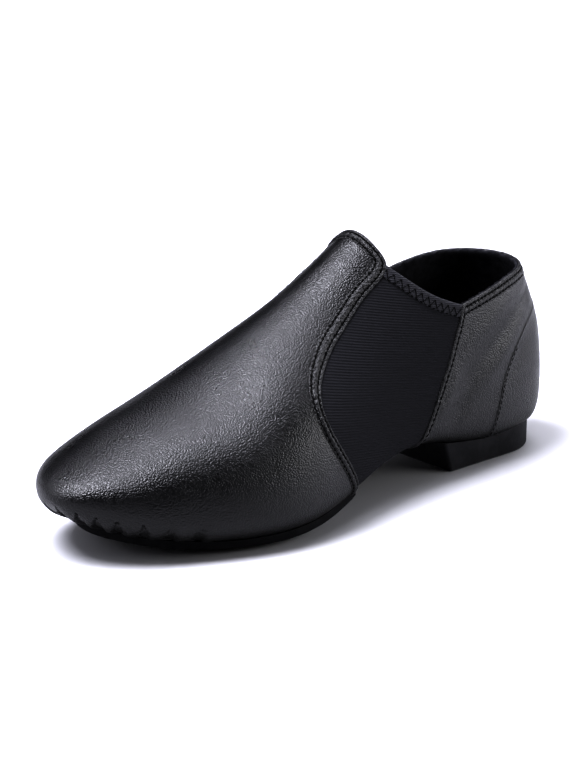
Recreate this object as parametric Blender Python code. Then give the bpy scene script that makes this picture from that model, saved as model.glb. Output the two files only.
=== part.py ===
"""Slip-on jazz shoe for the left foot: soft leather upper, elastic gores, split sole.

The toe points along -Y, the outer side of the foot is +X and the floor is z = 0.
Every piece is cut from one function of the last, offset by a named amount.
"""

import math
from typing import NamedTuple

import bmesh
import bpy
from mathutils import Vector

# Driving sizes, in metres
LENGTH = 0.250  # heel back to toe tip
BALL_WIDTH = 0.089  # across the widest part of the forefoot
INSTEP = 0.100  # unit of height of the sections
HEEL_HEIGHT = 0.0085  # heel block at its middle
PAD_THICKNESS = 0.0030  # forefoot sole pad
SWING = -0.0020  # the heel lies this far to the inner side of the middle
WALL = 0.0019  # leather with its lining
GORE_THICKNESS = 0.0008  # elastic panel
BAND_THICKNESS = 0.0007  # folded edge band and counter
BAND_WIDTH = 0.0042
BAND_PROUD = 0.0005  # how far a band stands above the leather
GORE_SUNK = 0.0001  # how far the elastic lies below the leather
INSOLE_THICKNESS = 0.0018
CLEARANCE = 0.0003  # between curved pieces
HEEL_WIDTH = 0.050
HEEL_BACK = 0.0055  # from the back of the shoe to the back of the block
HEEL_BREAST = 0.066  # from the back of the shoe to the front of the block
BREAST_SLOPE = 0.0025  # the top of the breast lies this much further forward
SHANK_HALF_WIDTH = 0.019  # leather strip left between the gores under the arch

# Mesh density
RINGS = 34
AROUND = 28
END_CROWDING = 0.55  # 0 for even rings, towards 1 for closer ones at heel and toe
CURVE_STEPS = 2  # straight pieces between two points of an outline
WELD = 1e-7  # corners closer than this become one


class Section(NamedTuple):
    """One cross-section of the last at right angles to the shoe's length."""

    station: float  # distance from the heel back, share of LENGTH
    outer: float  # outer edge, share of BALL_WIDTH
    inner: float  # inner edge, share of BALL_WIDTH
    lift: float  # 1 on the heel seat, 0 on the forefoot
    under: float  # lowest point above the seat line, share of INSTEP
    wide: float  # height of the widest point above the seat line
    over: float  # highest point above the seat line
    low_square: float  # squareness below the widest point
    top_square: float  # squareness above it
    crest: float  # sideways shift of the ridge


SECTIONS = [
    # station outer  inner   lift  under  wide   over   low    top    crest
    Section(0.000, 0.000, 0.000, 1.00, 0.244, 0.244, 0.244, 0.15, 0.00, 0.00),
    Section(0.012, 0.129, -0.129, 1.00, 0.040, 0.234, 0.502, 0.28, 0.00, 0.00),
    Section(0.045, 0.253, -0.234, 1.00, 0.004, 0.204, 0.680, 0.34, 0.02, 0.00),
    Section(0.100, 0.320, -0.309, 1.00, 0.000, 0.204, 0.900, 0.38, 0.03, 0.00),
    Section(0.180, 0.354, -0.343, 1.00, 0.006, 0.204, 1.024, 0.38, 0.04, 0.00),
    Section(0.270, 0.362, -0.337, 1.00, 0.036, 0.214, 1.064, 0.33, 0.02, 0.00),
    Section(0.350, 0.371, -0.331, 0.90, 0.080, 0.221, 1.020, 0.28, -0.02, -0.04),
    Section(0.440, 0.404, -0.343, 0.70, 0.070, 0.215, 0.905, 0.26, -0.05, -0.06),
    Section(0.520, 0.459, -0.371, 0.40, 0.034, 0.195, 0.799, 0.28, -0.05, -0.10),
    Section(0.600, 0.516, -0.421, 0.12, 0.004, 0.175, 0.710, 0.30, -0.03, -0.12),
    Section(0.680, 0.532, -0.466, 0.00, 0.000, 0.153, 0.612, 0.32, 0.00, -0.12),
    Section(0.760, 0.483, -0.488, 0.00, 0.004, 0.146, 0.511, 0.32, 0.03, -0.10),
    Section(0.840, 0.385, -0.455, 0.00, 0.028, 0.150, 0.445, 0.30, 0.06, -0.06),
    Section(0.910, 0.277, -0.410, 0.00, 0.068, 0.178, 0.373, 0.26, 0.06, -0.03),
    Section(0.965, 0.145, -0.290, 0.00, 0.128, 0.215, 0.316, 0.20, 0.05, 0.00),
    Section(1.000, -0.055, -0.055, 0.00, 0.232, 0.232, 0.232, 0.15, 0.00, 0.00),
]
MIRRORED = 4  # sections repeated beyond each end, so that both ends are round

# Side-view curves as (station, height) in shares of LENGTH and INSTEP
QUARTER_TOP = [(-0.03, 0.800), (0.06, 0.796), (0.124, 0.786), (0.18, 0.764), (0.262, 0.726)]
HEM_TOP = [(0.262, 0.726), (0.315, 0.785), (0.356, 0.855), (0.392, 0.932)]
VAMP_EDGE = [
    (0.408, 1.120), (0.399, 1.055), (0.393, 0.990), (0.392, 0.932), (0.404, 0.898),
    (0.440, 0.845), (0.488, 0.765), (0.536, 0.686), (0.568, 0.626), (0.590, 0.573),
    (0.602, 0.520), (0.604, 0.465), (0.598, 0.406), (0.583, 0.335), (0.561, 0.250),
    (0.540, 0.165), (0.524, 0.080),
]
THROAT_POINTS = 3  # the edge is open to the collar as far as this point
QUARTER_EDGE = [
    (0.262, 0.726), (0.268, 0.680), (0.281, 0.613), (0.299, 0.516), (0.322, 0.410),
    (0.338, 0.330), (0.354, 0.260), (0.370, 0.190), (0.384, 0.100),
]
COUNTER_SEAM = [
    (-0.030, 0.655), (0.030, 0.635), (0.067, 0.606), (0.096, 0.568), (0.125, 0.505),
    (0.150, 0.428), (0.167, 0.348), (0.177, 0.281), (0.186, 0.210), (0.194, 0.140),
    (0.200, 0.050),
]

# Plan-view outlines run inside the last's own outline
PAD_INSET = 0.0055
PAD_BACK = 0.515  # station of the pad's back corners
PAD_TOE_INSET = 0.0120  # how much further back the pad and its opening end at the toe
PAD_TOE_FROM = 0.62  # where along the last the pad starts to draw in
FOREFOOT_OPENING_INSET = 0.0120
FOREFOOT_OPENING_BACK = 0.560
HEEL_OPENING_INSET = 0.0080  # inside the heel block
INSOLE_INSET = 0.0048
BACK_BULGE = 0.0090  # roundness of a cut-off back end


def spline(knots, values):
    """Return a function through the values: a natural cubic with smooth curvature."""
    count = len(knots)
    gaps = [knots[i + 1] - knots[i] for i in range(count - 1)]
    lower, bend = [0.0] * count, [0.0] * count
    for i in range(1, count - 1):
        jump = (values[i + 1] - values[i]) / gaps[i] - (values[i] - values[i - 1]) / gaps[i - 1]
        pivot = 2 * (gaps[i - 1] + gaps[i]) - gaps[i - 1] * lower[i - 1]
        lower[i] = gaps[i] / pivot
        bend[i] = (6 * jump - gaps[i - 1] * bend[i - 1]) / pivot
    for i in range(count - 2, 0, -1):
        bend[i] -= lower[i] * bend[i + 1]

    def at(x):
        i = 0
        while i < count - 2 and x > knots[i + 1]:
            i += 1
        right, left, gap = knots[i + 1] - x, x - knots[i], gaps[i]
        return (
            (bend[i] * right**3 + bend[i + 1] * left**3) / (6 * gap)
            + (values[i] / gap - bend[i] * gap / 6) * right
            + (values[i + 1] / gap - bend[i + 1] * gap / 6) * left
        )

    return at


class Last:
    """The shape the upper is pulled over: point(t, angle) runs from heel to toe, t = 0 to 1."""

    def __init__(self, sections):
        seat = HEEL_HEIGHT + CLEARANCE
        ball = PAD_THICKNESS - CLEARANCE
        rest = [ball + row.lift * (seat - ball) for row in sections]
        station = [row.station * LENGTH for row in sections]
        half = [(row.outer - row.inner) / 2 * BALL_WIDTH for row in sections]
        up = [(row.over - row.wide) * INSTEP for row in sections]
        down = [(row.wide - row.under) * INSTEP for row in sections]
        path = [0.0]
        for i in range(1, len(sections)):
            path.append(path[-1] + math.dist(
                (station[i], half[i], (up[i] + down[i]) / 2),
                (station[i - 1], half[i - 1], (up[i - 1] + down[i - 1]) / 2),
            ))
        self.knots = [p / path[-1] for p in path]
        self.station = self.column(station)
        self.middle = self.column([(r.outer + r.inner) / 2 * BALL_WIDTH + SWING for r in sections])
        self.half = self.column(half, sign=-1)
        self.wide = self.column([z + r.wide * INSTEP for z, r in zip(rest, sections)])
        self.up = self.column(up, sign=-1)
        self.down = self.column(down, sign=-1)
        self.low_square = self.column([r.low_square for r in sections])
        self.top_square = self.column([r.top_square for r in sections])
        self.crest = self.column([r.crest for r in sections])

    def column(self, values, sign=1):
        """Interpolate one column; sizes change sign beyond the ends, places do not."""
        knots = self.knots
        start = range(MIRRORED, 0, -1)
        end = [len(knots) - 1 - k for k in range(1, MIRRORED + 1)]
        return spline(
            [-knots[i] for i in start] + knots + [2 - knots[i] for i in end],
            [sign * values[i] for i in start] + list(values) + [sign * values[i] for i in end],
        )

    def point(self, t, angle):
        """Angle 0 is the outer side and a quarter turn is the top."""
        c, s = math.cos(angle), math.sin(angle)
        square = self.top_square(t) * (1 + s) / 2 + self.low_square(t) * (1 - s) / 2
        across = c * (1 + square * s * s)
        height = s * (1 + square * c * c)
        across += self.crest(t) * (1 - across * across) * (1 + s) / 2
        up, down = self.up(t), self.down(t)
        blend = s * math.sqrt(1.16) / math.sqrt(s * s + 0.16)
        reach = (up + down) / 2 + (up - down) / 2 * blend
        return Vector((
            self.middle(t) + self.half(t) * across,
            LENGTH / 2 - self.station(t),
            self.wide(t) + reach * height,
        ))

    def offset(self, t, angle, distance, step=1e-3):
        """The point this far outside the surface."""
        along = self.point(t + step, angle) - self.point(t - step, angle)
        round_ = self.point(t, angle + step) - self.point(t, angle - step)
        return self.point(t, angle) + round_.cross(along).normalized() * distance

    def t_at(self, station):
        """The t of a station, by halving."""
        low, high = 0.0, 1.0
        for _ in range(40):
            middle = (low + high) / 2
            if self.station(middle) < station:
                low = middle
            else:
                high = middle
        return (low + high) / 2


LAST = Last(SECTIONS)


def add_mesh(name, points, faces):
    mesh = bpy.data.meshes.new(name)
    mesh.from_pydata([tuple(p) for p in points], [], faces)
    obj = bpy.data.objects.new(name, mesh)
    bpy.context.scene.collection.objects.link(obj)
    return obj


def form(name, distance):
    """The closed surface of the last, offset outwards by the distance."""
    points = [LAST.point(0, 0) + Vector((0, distance, 0))]
    for i in range(1, RINGS):
        t = i / RINGS - END_CROWDING * math.sin(2 * math.pi * i / RINGS) / (2 * math.pi)
        points += [LAST.offset(t, 2 * math.pi * k / AROUND, distance) for k in range(AROUND)]
    points.append(LAST.point(1, 0) - Vector((0, distance, 0)))
    last = len(points) - 1
    faces = []
    for k in range(AROUND):
        j = (k + 1) % AROUND
        faces.append((0, 1 + j, 1 + k))
        faces.append((last, last - AROUND + k, last - AROUND + j))
        for i in range(RINGS - 2):
            a = 1 + i * AROUND
            b = a + AROUND
            faces += [(a + k, a + j, b + k), (a + j, b + j, b + k)]
    return add_mesh(name, points, faces)


def prism(name, low_outline, high_outline):
    """A closed solid between two outlines of points with the same count."""
    count = len(low_outline)
    area = sum(
        (low_outline[i] - low_outline[0]).cross(low_outline[(i + 1) % count] - low_outline[0])
        .dot(high_outline[0] - low_outline[0])
        for i in range(count)
    )
    if area < 0:
        low_outline, high_outline = low_outline[::-1], high_outline[::-1]
    faces = [tuple(range(count))[::-1], tuple(range(count, 2 * count))]
    faces += [(i, (i + 1) % count, count + (i + 1) % count, count + i) for i in range(count)]
    return add_mesh(name, low_outline + high_outline, faces)


def side_prism(name, outline, x_from, x_to):
    """A side-view outline of (station, height) shares, carried across the shoe."""
    def at(x):
        return [Vector((x, LENGTH * (0.5 - s), INSTEP * z)) for s, z in outline]
    return prism(name, at(x_from), at(x_to))


def plan_prism(name, outline, z_from, z_to):
    return prism(
        name,
        [Vector((x, y, z_from)) for x, y in outline],
        [Vector((x, y, z_to)) for x, y in outline],
    )


def curve(points):
    """A smooth line through the points of an outline."""
    steps = [0.0]
    for a, b in zip(points, points[1:]):
        steps.append(steps[-1] + math.dist(a, b))
    first = spline(steps, [p[0] for p in points])
    second = spline(steps, [p[1] for p in points])
    line = []
    for a, b in zip(steps, steps[1:]):
        line += [(first(a + (b - a) * k / CURVE_STEPS), second(a + (b - a) * k / CURVE_STEPS))
                 for k in range(CURVE_STEPS)]
    return line + [points[-1]]


def beside(line, distance):
    """The line moved sideways, to its left, in real distance."""
    moved = []
    for i, (s, z) in enumerate(line):
        before, after = line[max(i - 1, 0)], line[min(i + 1, len(line) - 1)]
        along = Vector(((after[0] - before[0]) * LENGTH, (after[1] - before[1]) * INSTEP))
        along.normalize()
        moved.append((s - along.y * distance / LENGTH, z + along.x * distance / INSTEP))
    return moved


def inset_outline(inset, back=0.0, steps=16):
    """Plan outline at a set distance inside the last, cut off round at the back station."""
    start = LAST.t_at(back * LENGTH) if back else 0.0
    sides = []
    for sign in (1, -1):
        side = []
        for k in range(0 if back else 1, steps + 1):
            t = start + (1 - start) * math.sin(math.pi / 2 * k / steps)
            if not back:
                t = 0.5 - 0.5 * math.cos(math.pi * k / steps)
            half, slope = LAST.half(t), (LAST.half(t + 0.001) - LAST.half(t - 0.001))
            middle, drift = LAST.middle(t), (LAST.middle(t + 0.001) - LAST.middle(t - 0.001))
            along = Vector((drift + sign * slope, LAST.station(t - 0.001) - LAST.station(t + 0.001)))
            along.normalize()
            late = max(0.0, (t - PAD_TOE_FROM) / (1 - PAD_TOE_FROM)) if back else 0.0
            drawn_in = PAD_TOE_INSET * late * late * (3 - 2 * late)
            side.append((
                middle + sign * half + sign * along.y * inset,
                LENGTH / 2 - LAST.station(t) - sign * along.x * inset + drawn_in,
            ))
        sides.append(side)
    outer, inner = sides
    if not back:
        return outer + inner[-2::-1] + [(LAST.middle(0), LENGTH / 2 - inset)]
    cut = [Vector(inner[0]).lerp(Vector(outer[0]), k / 8) for k in range(1, 8)]
    cap = [(p.x, p.y + BACK_BULGE * math.sin(math.pi * k / 8)) for k, p in enumerate(cut, 1)]
    return outer + inner[-2::-1] + cap


def combine(target, tool, operation):
    """Join, cut or intersect two solids exactly; the tool is used up."""
    modifier = target.modifiers.new("combine", "BOOLEAN")
    modifier.operation, modifier.object, modifier.solver = operation, tool, "EXACT"
    graph = bpy.context.evaluated_depsgraph_get()
    mesh = bpy.data.meshes.new_from_object(target.evaluated_get(graph))
    target.modifiers.remove(modifier)
    target.data = mesh
    bpy.data.objects.remove(tool)
    editing = bmesh.new()
    editing.from_mesh(mesh)
    bmesh.ops.remove_doubles(editing, verts=editing.verts, dist=WELD)
    bmesh.ops.dissolve_degenerate(editing, edges=editing.edges, dist=WELD)
    editing.to_mesh(mesh)
    editing.free()
    return target


def shell(name, outside, inside):
    """The layer between two offsets of the last."""
    return combine(form(name, outside), form("core", inside), "DIFFERENCE")


def patch(name, outside, inside, mask):
    """The part of a layer that lies within a mask."""
    return combine(shell(name, outside, inside), mask, "INTERSECT")


def vamp_edge():
    """The vamp's edge below the throat, where the gore meets it."""
    return curve(VAMP_EDGE)[THROAT_POINTS * CURVE_STEPS:]


def gore_mask(side, margin=0.0):
    """Side-view field of one gore, grown by the margin and open above the collar."""
    rear = beside(curve(QUARTER_EDGE), -margin)
    front = beside(vamp_edge(), margin)
    above = [(rear[0][0] - 0.004, rear[0][1] + 0.12), (front[0][0] - 0.008, front[0][1] + 0.05)]
    below = [(front[-1][0] - 0.004, -0.05), (rear[-1][0] + 0.004, -0.05)]
    outline = above + front + below + rear[::-1]
    near = side * (SHANK_HALF_WIDTH - margin)
    return side_prism("gore field", outline, SWING + near, SWING + side * BALL_WIDTH)


def band_mask(width, over_gore=0.0):
    """Side-view strip along the vamp's edge and on past its throat, for the collar cut to trim."""
    back = beside(vamp_edge(), -over_gore)[:-1]
    corner, top = VAMP_EDGE[THROAT_POINTS], VAMP_EDGE[0]
    above = [(top[0] - 0.016, top[1] + 0.020), (corner[0] - 0.010, corner[1] + 0.040)]
    front = beside(curve(VAMP_EDGE), width)[:-1]
    return side_prism("band field", front[::-1] + above + back, -BALL_WIDTH, BALL_WIDTH)


def counter_mask(margin=0.0):
    """Behind the counter's seam and outside the heel block."""
    seam = beside(curve(COUNTER_SEAM), margin)
    outline = [(-0.06, -0.05), (-0.06, seam[0][1])] + seam
    field = side_prism("counter field", outline, -BALL_WIDTH, BALL_WIDTH)
    block = heel_solid("block field", -0.01, 0.02, BAND_PROUD + CLEARANCE - margin)
    return combine(field, block, "DIFFERENCE")


def collar_cutter():
    """Everything above the collar line and behind the throat."""
    throat = curve(VAMP_EDGE)[:THROAT_POINTS * CURVE_STEPS + 1]
    line = curve(QUARTER_TOP)[:-1] + curve(HEM_TOP)[:-1] + throat[::-1]
    outline = [(-0.06, 1.6), (-0.06, line[0][1])] + line + [(line[-1][0] + 0.005, 1.6)]
    return side_prism("collar cutter", outline, -BALL_WIDTH, BALL_WIDTH)


def make_upper():
    upper = shell("upper", 0.0, -WALL)
    out = 0.004
    depth = GORE_SUNK + GORE_THICKNESS + CLEARANCE
    for side in (1, -1):
        field = patch("gore recess", out, -depth, gore_mask(side))
        combine(upper, field, "DIFFERENCE")
    groove = CLEARANCE + BAND_THICKNESS - BAND_PROUD
    band = band_mask(BAND_WIDTH + CLEARANCE, over_gore=2 * CLEARANCE)
    combine(upper, patch("band groove", out, -groove, band), "DIFFERENCE")
    combine(upper, patch("counter groove", out, -groove, counter_mask()), "DIFFERENCE")
    combine(upper, collar_cutter(), "DIFFERENCE")
    top = HEEL_HEIGHT + 0.0065
    forefoot = inset_outline(FOREFOOT_OPENING_INSET, FOREFOOT_OPENING_BACK)
    combine(upper, plan_prism("forefoot opening", forefoot, -0.005, top), "DIFFERENCE")
    combine(upper, heel_solid("heel opening", -0.005, top, -HEEL_OPENING_INSET), "DIFFERENCE")
    return upper


def make_gore(name, side):
    outside = -GORE_SUNK
    gore = patch(name, outside, outside - GORE_THICKNESS, gore_mask(side, -CLEARANCE))
    return combine(gore, collar_cutter(), "DIFFERENCE")


def make_overlay(name, mask):
    """A leather piece laid into a groove of the upper and standing a little proud."""
    overlay = patch(name, BAND_PROUD, BAND_PROUD - BAND_THICKNESS, mask)
    return combine(overlay, collar_cutter(), "DIFFERENCE")


def make_sole_pad():
    pad = shell("sole_pad", CLEARANCE + PAD_THICKNESS, CLEARANCE)
    field = plan_prism("pad field", inset_outline(PAD_INSET, PAD_BACK), 0.0, 0.022)
    return combine(pad, field, "INTERSECT")


def make_insole():
    top = -(WALL + CLEARANCE)
    insole = shell("insole", top, top - INSOLE_THICKNESS)
    field = plan_prism("insole field", inset_outline(WALL + INSOLE_INSET), -0.005, 0.025)
    return combine(insole, field, "INTERSECT")


def heel_solid(name, z_from, z_to, grown=0.0):
    """A D in plan, its flat breast leaning forward at the top."""
    radius = HEEL_WIDTH / 2
    middle = HEEL_BACK + radius
    arc = [math.pi * k / 24 - math.pi / 2 for k in range(25)]

    def outline(z):
        breast = HEEL_BREAST + grown + BREAST_SLOPE * z / HEEL_HEIGHT
        reach = radius + grown
        points = [(reach * math.sin(a), middle - reach * math.cos(a)) for a in arc]
        points += [(reach, breast), (-reach, breast)]
        return [Vector((SWING + x, LENGTH / 2 - s, z)) for x, s in points]

    return prism(name, outline(z_from), outline(z_to))


def make_heel():
    heel = heel_solid("heel_block", 0.0, HEEL_HEIGHT + 0.010)
    return combine(heel, form("heel seat", CLEARANCE), "DIFFERENCE")


def finish(obj, colour, roughness, metallic=0.0):
    material = bpy.data.materials.new(obj.name)
    material.use_nodes = True
    shader = material.node_tree.nodes["Principled BSDF"]
    shader.inputs["Base Color"].default_value = (*colour, 1.0)
    shader.inputs["Roughness"].default_value = roughness
    shader.inputs["Metallic"].default_value = metallic
    material.diffuse_color = (*colour, 1.0)
    obj.data.materials.clear()
    obj.data.materials.append(material)


def main():
    for obj in list(bpy.data.objects):
        bpy.data.objects.remove(obj)
    leather, edge = (0.020, 0.020, 0.021), (0.030, 0.030, 0.031)
    elastic, rubber, lining = (0.010, 0.010, 0.011), (0.014, 0.014, 0.014), (0.045, 0.045, 0.045)
    finish(make_upper(), leather, 0.45)
    finish(make_gore("gore_outer", 1), elastic, 0.90)
    finish(make_gore("gore_inner", -1), elastic, 0.90)
    finish(make_overlay("vamp_band", band_mask(BAND_WIDTH)), edge, 0.45)
    finish(make_overlay("counter", counter_mask(-CLEARANCE)), leather, 0.45)
    finish(make_sole_pad(), rubber, 0.75)
    finish(make_heel(), rubber, 0.70)
    finish(make_insole(), lining, 0.95)


main()
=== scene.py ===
"""Slip-on jazz shoe for the left foot, dressed for a studio picture.

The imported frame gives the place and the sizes. Every leather, elastic and rubber piece is laid on one
function of the last, at its own distance from it, and follows the seams of the real shoe.
"""

import logging
import math
from dataclasses import dataclass
from enum import Enum
from typing import Callable, NamedTuple, Sequence

import bmesh
import bpy
import numpy as np
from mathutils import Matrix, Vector

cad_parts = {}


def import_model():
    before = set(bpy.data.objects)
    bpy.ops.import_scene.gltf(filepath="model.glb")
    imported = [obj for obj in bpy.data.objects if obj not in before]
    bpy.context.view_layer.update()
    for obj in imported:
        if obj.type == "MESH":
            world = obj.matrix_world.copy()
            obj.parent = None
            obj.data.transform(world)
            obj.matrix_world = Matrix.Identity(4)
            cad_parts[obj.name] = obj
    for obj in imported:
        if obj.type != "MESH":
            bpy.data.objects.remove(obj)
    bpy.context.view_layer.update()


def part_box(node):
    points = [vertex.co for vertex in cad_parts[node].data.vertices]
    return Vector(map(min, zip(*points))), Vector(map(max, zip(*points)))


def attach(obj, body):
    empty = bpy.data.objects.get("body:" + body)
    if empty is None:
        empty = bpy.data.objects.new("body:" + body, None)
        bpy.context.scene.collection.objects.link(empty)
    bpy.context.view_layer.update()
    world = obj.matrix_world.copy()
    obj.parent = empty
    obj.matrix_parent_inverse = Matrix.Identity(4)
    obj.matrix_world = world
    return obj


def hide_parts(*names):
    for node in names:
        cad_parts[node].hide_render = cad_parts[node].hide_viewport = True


LOG = logging.getLogger("jazz_shoe")
MM = 0.001
TOP = math.pi / 2
UNDER = -math.pi / 2

# Sizes of the solids, in metres
LENGTH = 0.250
BALL_WIDTH = 0.089
INSTEP = 0.100
HEEL_HEIGHT = 0.0085
PAD_THICKNESS = 0.0030
CLEARANCE = 0.0003
WALL = 0.0019
SHANK_HALF_WIDTH = 0.019
BREAST_SLOPE = 0.0025

Outline = list[tuple[float, float]]
Profile = tuple[tuple[float, float], ...]
Colour = tuple[float, float, float]
Height = Callable[[np.ndarray, float], np.ndarray]


class Side(Enum):
    """The two sides of the foot."""

    OUTER = 1
    INNER = -1

    @property
    def word(self) -> str:
        """Returns the side's name as pieces and nodes have it."""
        return self.name.lower()

    def turn(self, rise: np.ndarray) -> np.ndarray:
        """Turns a rise above the horizontal into an angle on this side, running on from the other side's."""
        return rise if self is Side.OUTER else -math.pi - rise


class Section(NamedTuple):
    """One cross-section of the last, with its lengths as shares of LENGTH, BALL_WIDTH and INSTEP."""

    station: float
    outer: float
    inner: float
    lift: float
    under: float
    wide: float
    over: float
    low_square: float
    top_square: float
    crest: float


SECTIONS = (
    Section(0.000, 0.000, 0.000, 1.00, 0.244, 0.244, 0.244, 0.15, 0.00, 0.00),
    Section(0.012, 0.129, -0.129, 1.00, 0.040, 0.234, 0.502, 0.28, 0.00, 0.00),
    Section(0.045, 0.253, -0.234, 1.00, 0.004, 0.204, 0.680, 0.34, 0.02, 0.00),
    Section(0.100, 0.320, -0.309, 1.00, 0.000, 0.204, 0.900, 0.38, 0.03, 0.00),
    Section(0.180, 0.354, -0.343, 1.00, 0.006, 0.204, 1.024, 0.38, 0.04, 0.00),
    Section(0.270, 0.362, -0.337, 1.00, 0.036, 0.214, 1.064, 0.33, 0.02, 0.00),
    Section(0.350, 0.371, -0.331, 0.90, 0.080, 0.221, 1.020, 0.28, -0.02, -0.04),
    Section(0.440, 0.404, -0.343, 0.70, 0.070, 0.215, 0.905, 0.26, -0.05, -0.06),
    Section(0.520, 0.459, -0.371, 0.40, 0.034, 0.195, 0.799, 0.28, -0.05, -0.10),
    Section(0.600, 0.516, -0.421, 0.12, 0.004, 0.175, 0.710, 0.30, -0.03, -0.12),
    Section(0.680, 0.532, -0.466, 0.00, 0.000, 0.153, 0.612, 0.32, 0.00, -0.12),
    Section(0.760, 0.483, -0.488, 0.00, 0.004, 0.146, 0.511, 0.32, 0.03, -0.10),
    Section(0.840, 0.385, -0.455, 0.00, 0.028, 0.150, 0.445, 0.30, 0.06, -0.06),
    Section(0.910, 0.277, -0.410, 0.00, 0.068, 0.178, 0.373, 0.26, 0.06, -0.03),
    Section(0.965, 0.145, -0.290, 0.00, 0.128, 0.215, 0.316, 0.20, 0.05, 0.00),
    Section(1.000, -0.055, -0.055, 0.00, 0.232, 0.232, 0.232, 0.15, 0.00, 0.00),
)
MIRRORED = 4  # sections repeated beyond each end, so that both ends are round

# Side-view lines as stations and heights, in shares of LENGTH and INSTEP
QUARTER_TOP: Outline = [(-0.03, 0.800), (0.06, 0.796), (0.124, 0.786), (0.18, 0.764), (0.262, 0.726)]
HEM_TOP: Outline = [(0.262, 0.726), (0.315, 0.785), (0.356, 0.855), (0.392, 0.932)]
VAMP_EDGE: Outline = [
    (0.408, 1.120), (0.399, 1.055), (0.393, 0.990), (0.392, 0.932), (0.404, 0.898),
    (0.440, 0.845), (0.488, 0.765), (0.536, 0.686), (0.568, 0.626), (0.590, 0.573),
    (0.602, 0.520), (0.604, 0.465), (0.598, 0.406), (0.583, 0.335), (0.561, 0.250),
    (0.540, 0.165), (0.524, 0.080),
]
QUARTER_EDGE: Outline = [
    (0.262, 0.726), (0.268, 0.680), (0.281, 0.613), (0.299, 0.516), (0.322, 0.410),
    (0.338, 0.330), (0.354, 0.260), (0.370, 0.190), (0.384, 0.100),
]
COUNTER_SEAM: Outline = [
    (-0.030, 0.655), (0.030, 0.635), (0.067, 0.606), (0.096, 0.568), (0.125, 0.505),
    (0.150, 0.428), (0.167, 0.348), (0.177, 0.281), (0.186, 0.210), (0.194, 0.140),
    (0.200, 0.050),
]
CURVE_STEPS = 12  # short straight pieces between two points of a line
THROAT_END = 3 * CURVE_STEPS  # the vamp's edge is open to the collar as far as this place


class Spline:
    """A natural cubic through values at knots."""

    def __init__(self, knots: Sequence[float], values: Sequence[float]) -> None:
        """Solves for the second derivatives.

        Args:
            knots: Rising places.
            values: One value at each knot.
        """
        self.knots, self.values = np.asarray(knots, float), np.asarray(values, float)
        gaps, rises = np.diff(self.knots), np.diff(self.values)
        count = len(self.knots)
        matrix, right = np.eye(count), np.zeros(count)
        for i in range(1, count - 1):
            matrix[i, i - 1 : i + 2] = gaps[i - 1], 2 * (gaps[i - 1] + gaps[i]), gaps[i]
            right[i] = 6 * (rises[i] / gaps[i] - rises[i - 1] / gaps[i - 1])
        self.gaps, self.bend = gaps, np.linalg.solve(matrix, right)

    def __call__(self, x: np.ndarray) -> np.ndarray:
        """Returns the values at x."""
        i = np.clip(np.searchsorted(self.knots, x, side="left") - 1, 0, len(self.gaps) - 1)
        right, left, gap = self.knots[i + 1] - x, x - self.knots[i], self.gaps[i]
        low, high = self.bend[i], self.bend[i + 1]
        return (
            (low * right**3 + high * left**3) / (6 * gap)
            + (self.values[i] / gap - low * gap / 6) * right
            + (self.values[i + 1] / gap - high * gap / 6) * left
        )


def smooth(points: Outline) -> np.ndarray:
    """Draws a smooth side-view line through the points of an outline.

    Args:
        points: Stations and heights, as shares of LENGTH and INSTEP.

    Returns:
        The finer line, one row a point.
    """
    marks = np.array(points)
    path = np.concatenate([[0], np.cumsum(np.hypot(*np.diff(marks, axis=0).T))])
    pieces = [np.linspace(a, b, CURVE_STEPS, endpoint=False) for a, b in zip(path, path[1:])]
    fine = np.concatenate(pieces + [path[-1:]])
    return np.stack([Spline(path, marks[:, 0])(fine), Spline(path, marks[:, 1])(fine)], -1)


def beside(line: np.ndarray, distance: float) -> np.ndarray:
    """Moves a side-view line to its left by a real distance in metres."""
    real = line * (LENGTH, INSTEP)
    along = np.gradient(real, axis=0)
    along /= np.linalg.norm(along, axis=1)[:, None]
    return (real + np.stack([-along[:, 1], along[:, 0]], -1) * distance) / (LENGTH, INSTEP)


def run_along(points: np.ndarray) -> np.ndarray:
    """Returns how far along its path each point lies, for one path or for one in each column."""
    steps = np.linalg.norm(np.diff(points, axis=0), axis=-1)
    return np.concatenate([np.zeros_like(steps[:1]), np.cumsum(steps, axis=0)])


def resampled(places: np.ndarray, at: np.ndarray, where: np.ndarray) -> np.ndarray:
    """Reads a path's two columns anew.

    Args:
        places: The path's columns.
        at: A rising value for each of its rows.
        where: The values at which to read it.

    Returns:
        One row for each of those.
    """
    return np.stack([np.interp(where, at, places[:, k]) for k in (0, 1)], -1)


def halved(low: np.ndarray, high: np.ndarray, is_low: Callable[[np.ndarray], np.ndarray]) -> np.ndarray:
    """Closes in on the values where a test turns from true to false.

    Args:
        low: Values where the test is true.
        high: Values where it is false.
        is_low: The test.

    Returns:
        The values between.
    """
    for _ in range(36):
        middle = (low + high) / 2
        under = is_low(middle)
        low, high = np.where(under, middle, low), np.where(under, high, middle)
    return (low + high) / 2


@dataclass(frozen=True)
class Crease:
    """A soft fold in the leather, drawn in the side view.

    The depth is negative for a valley and positive for a ridge.
    """

    start: tuple[float, float]
    end: tuple[float, float]
    depth: float
    width: float
    side: Side


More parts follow.
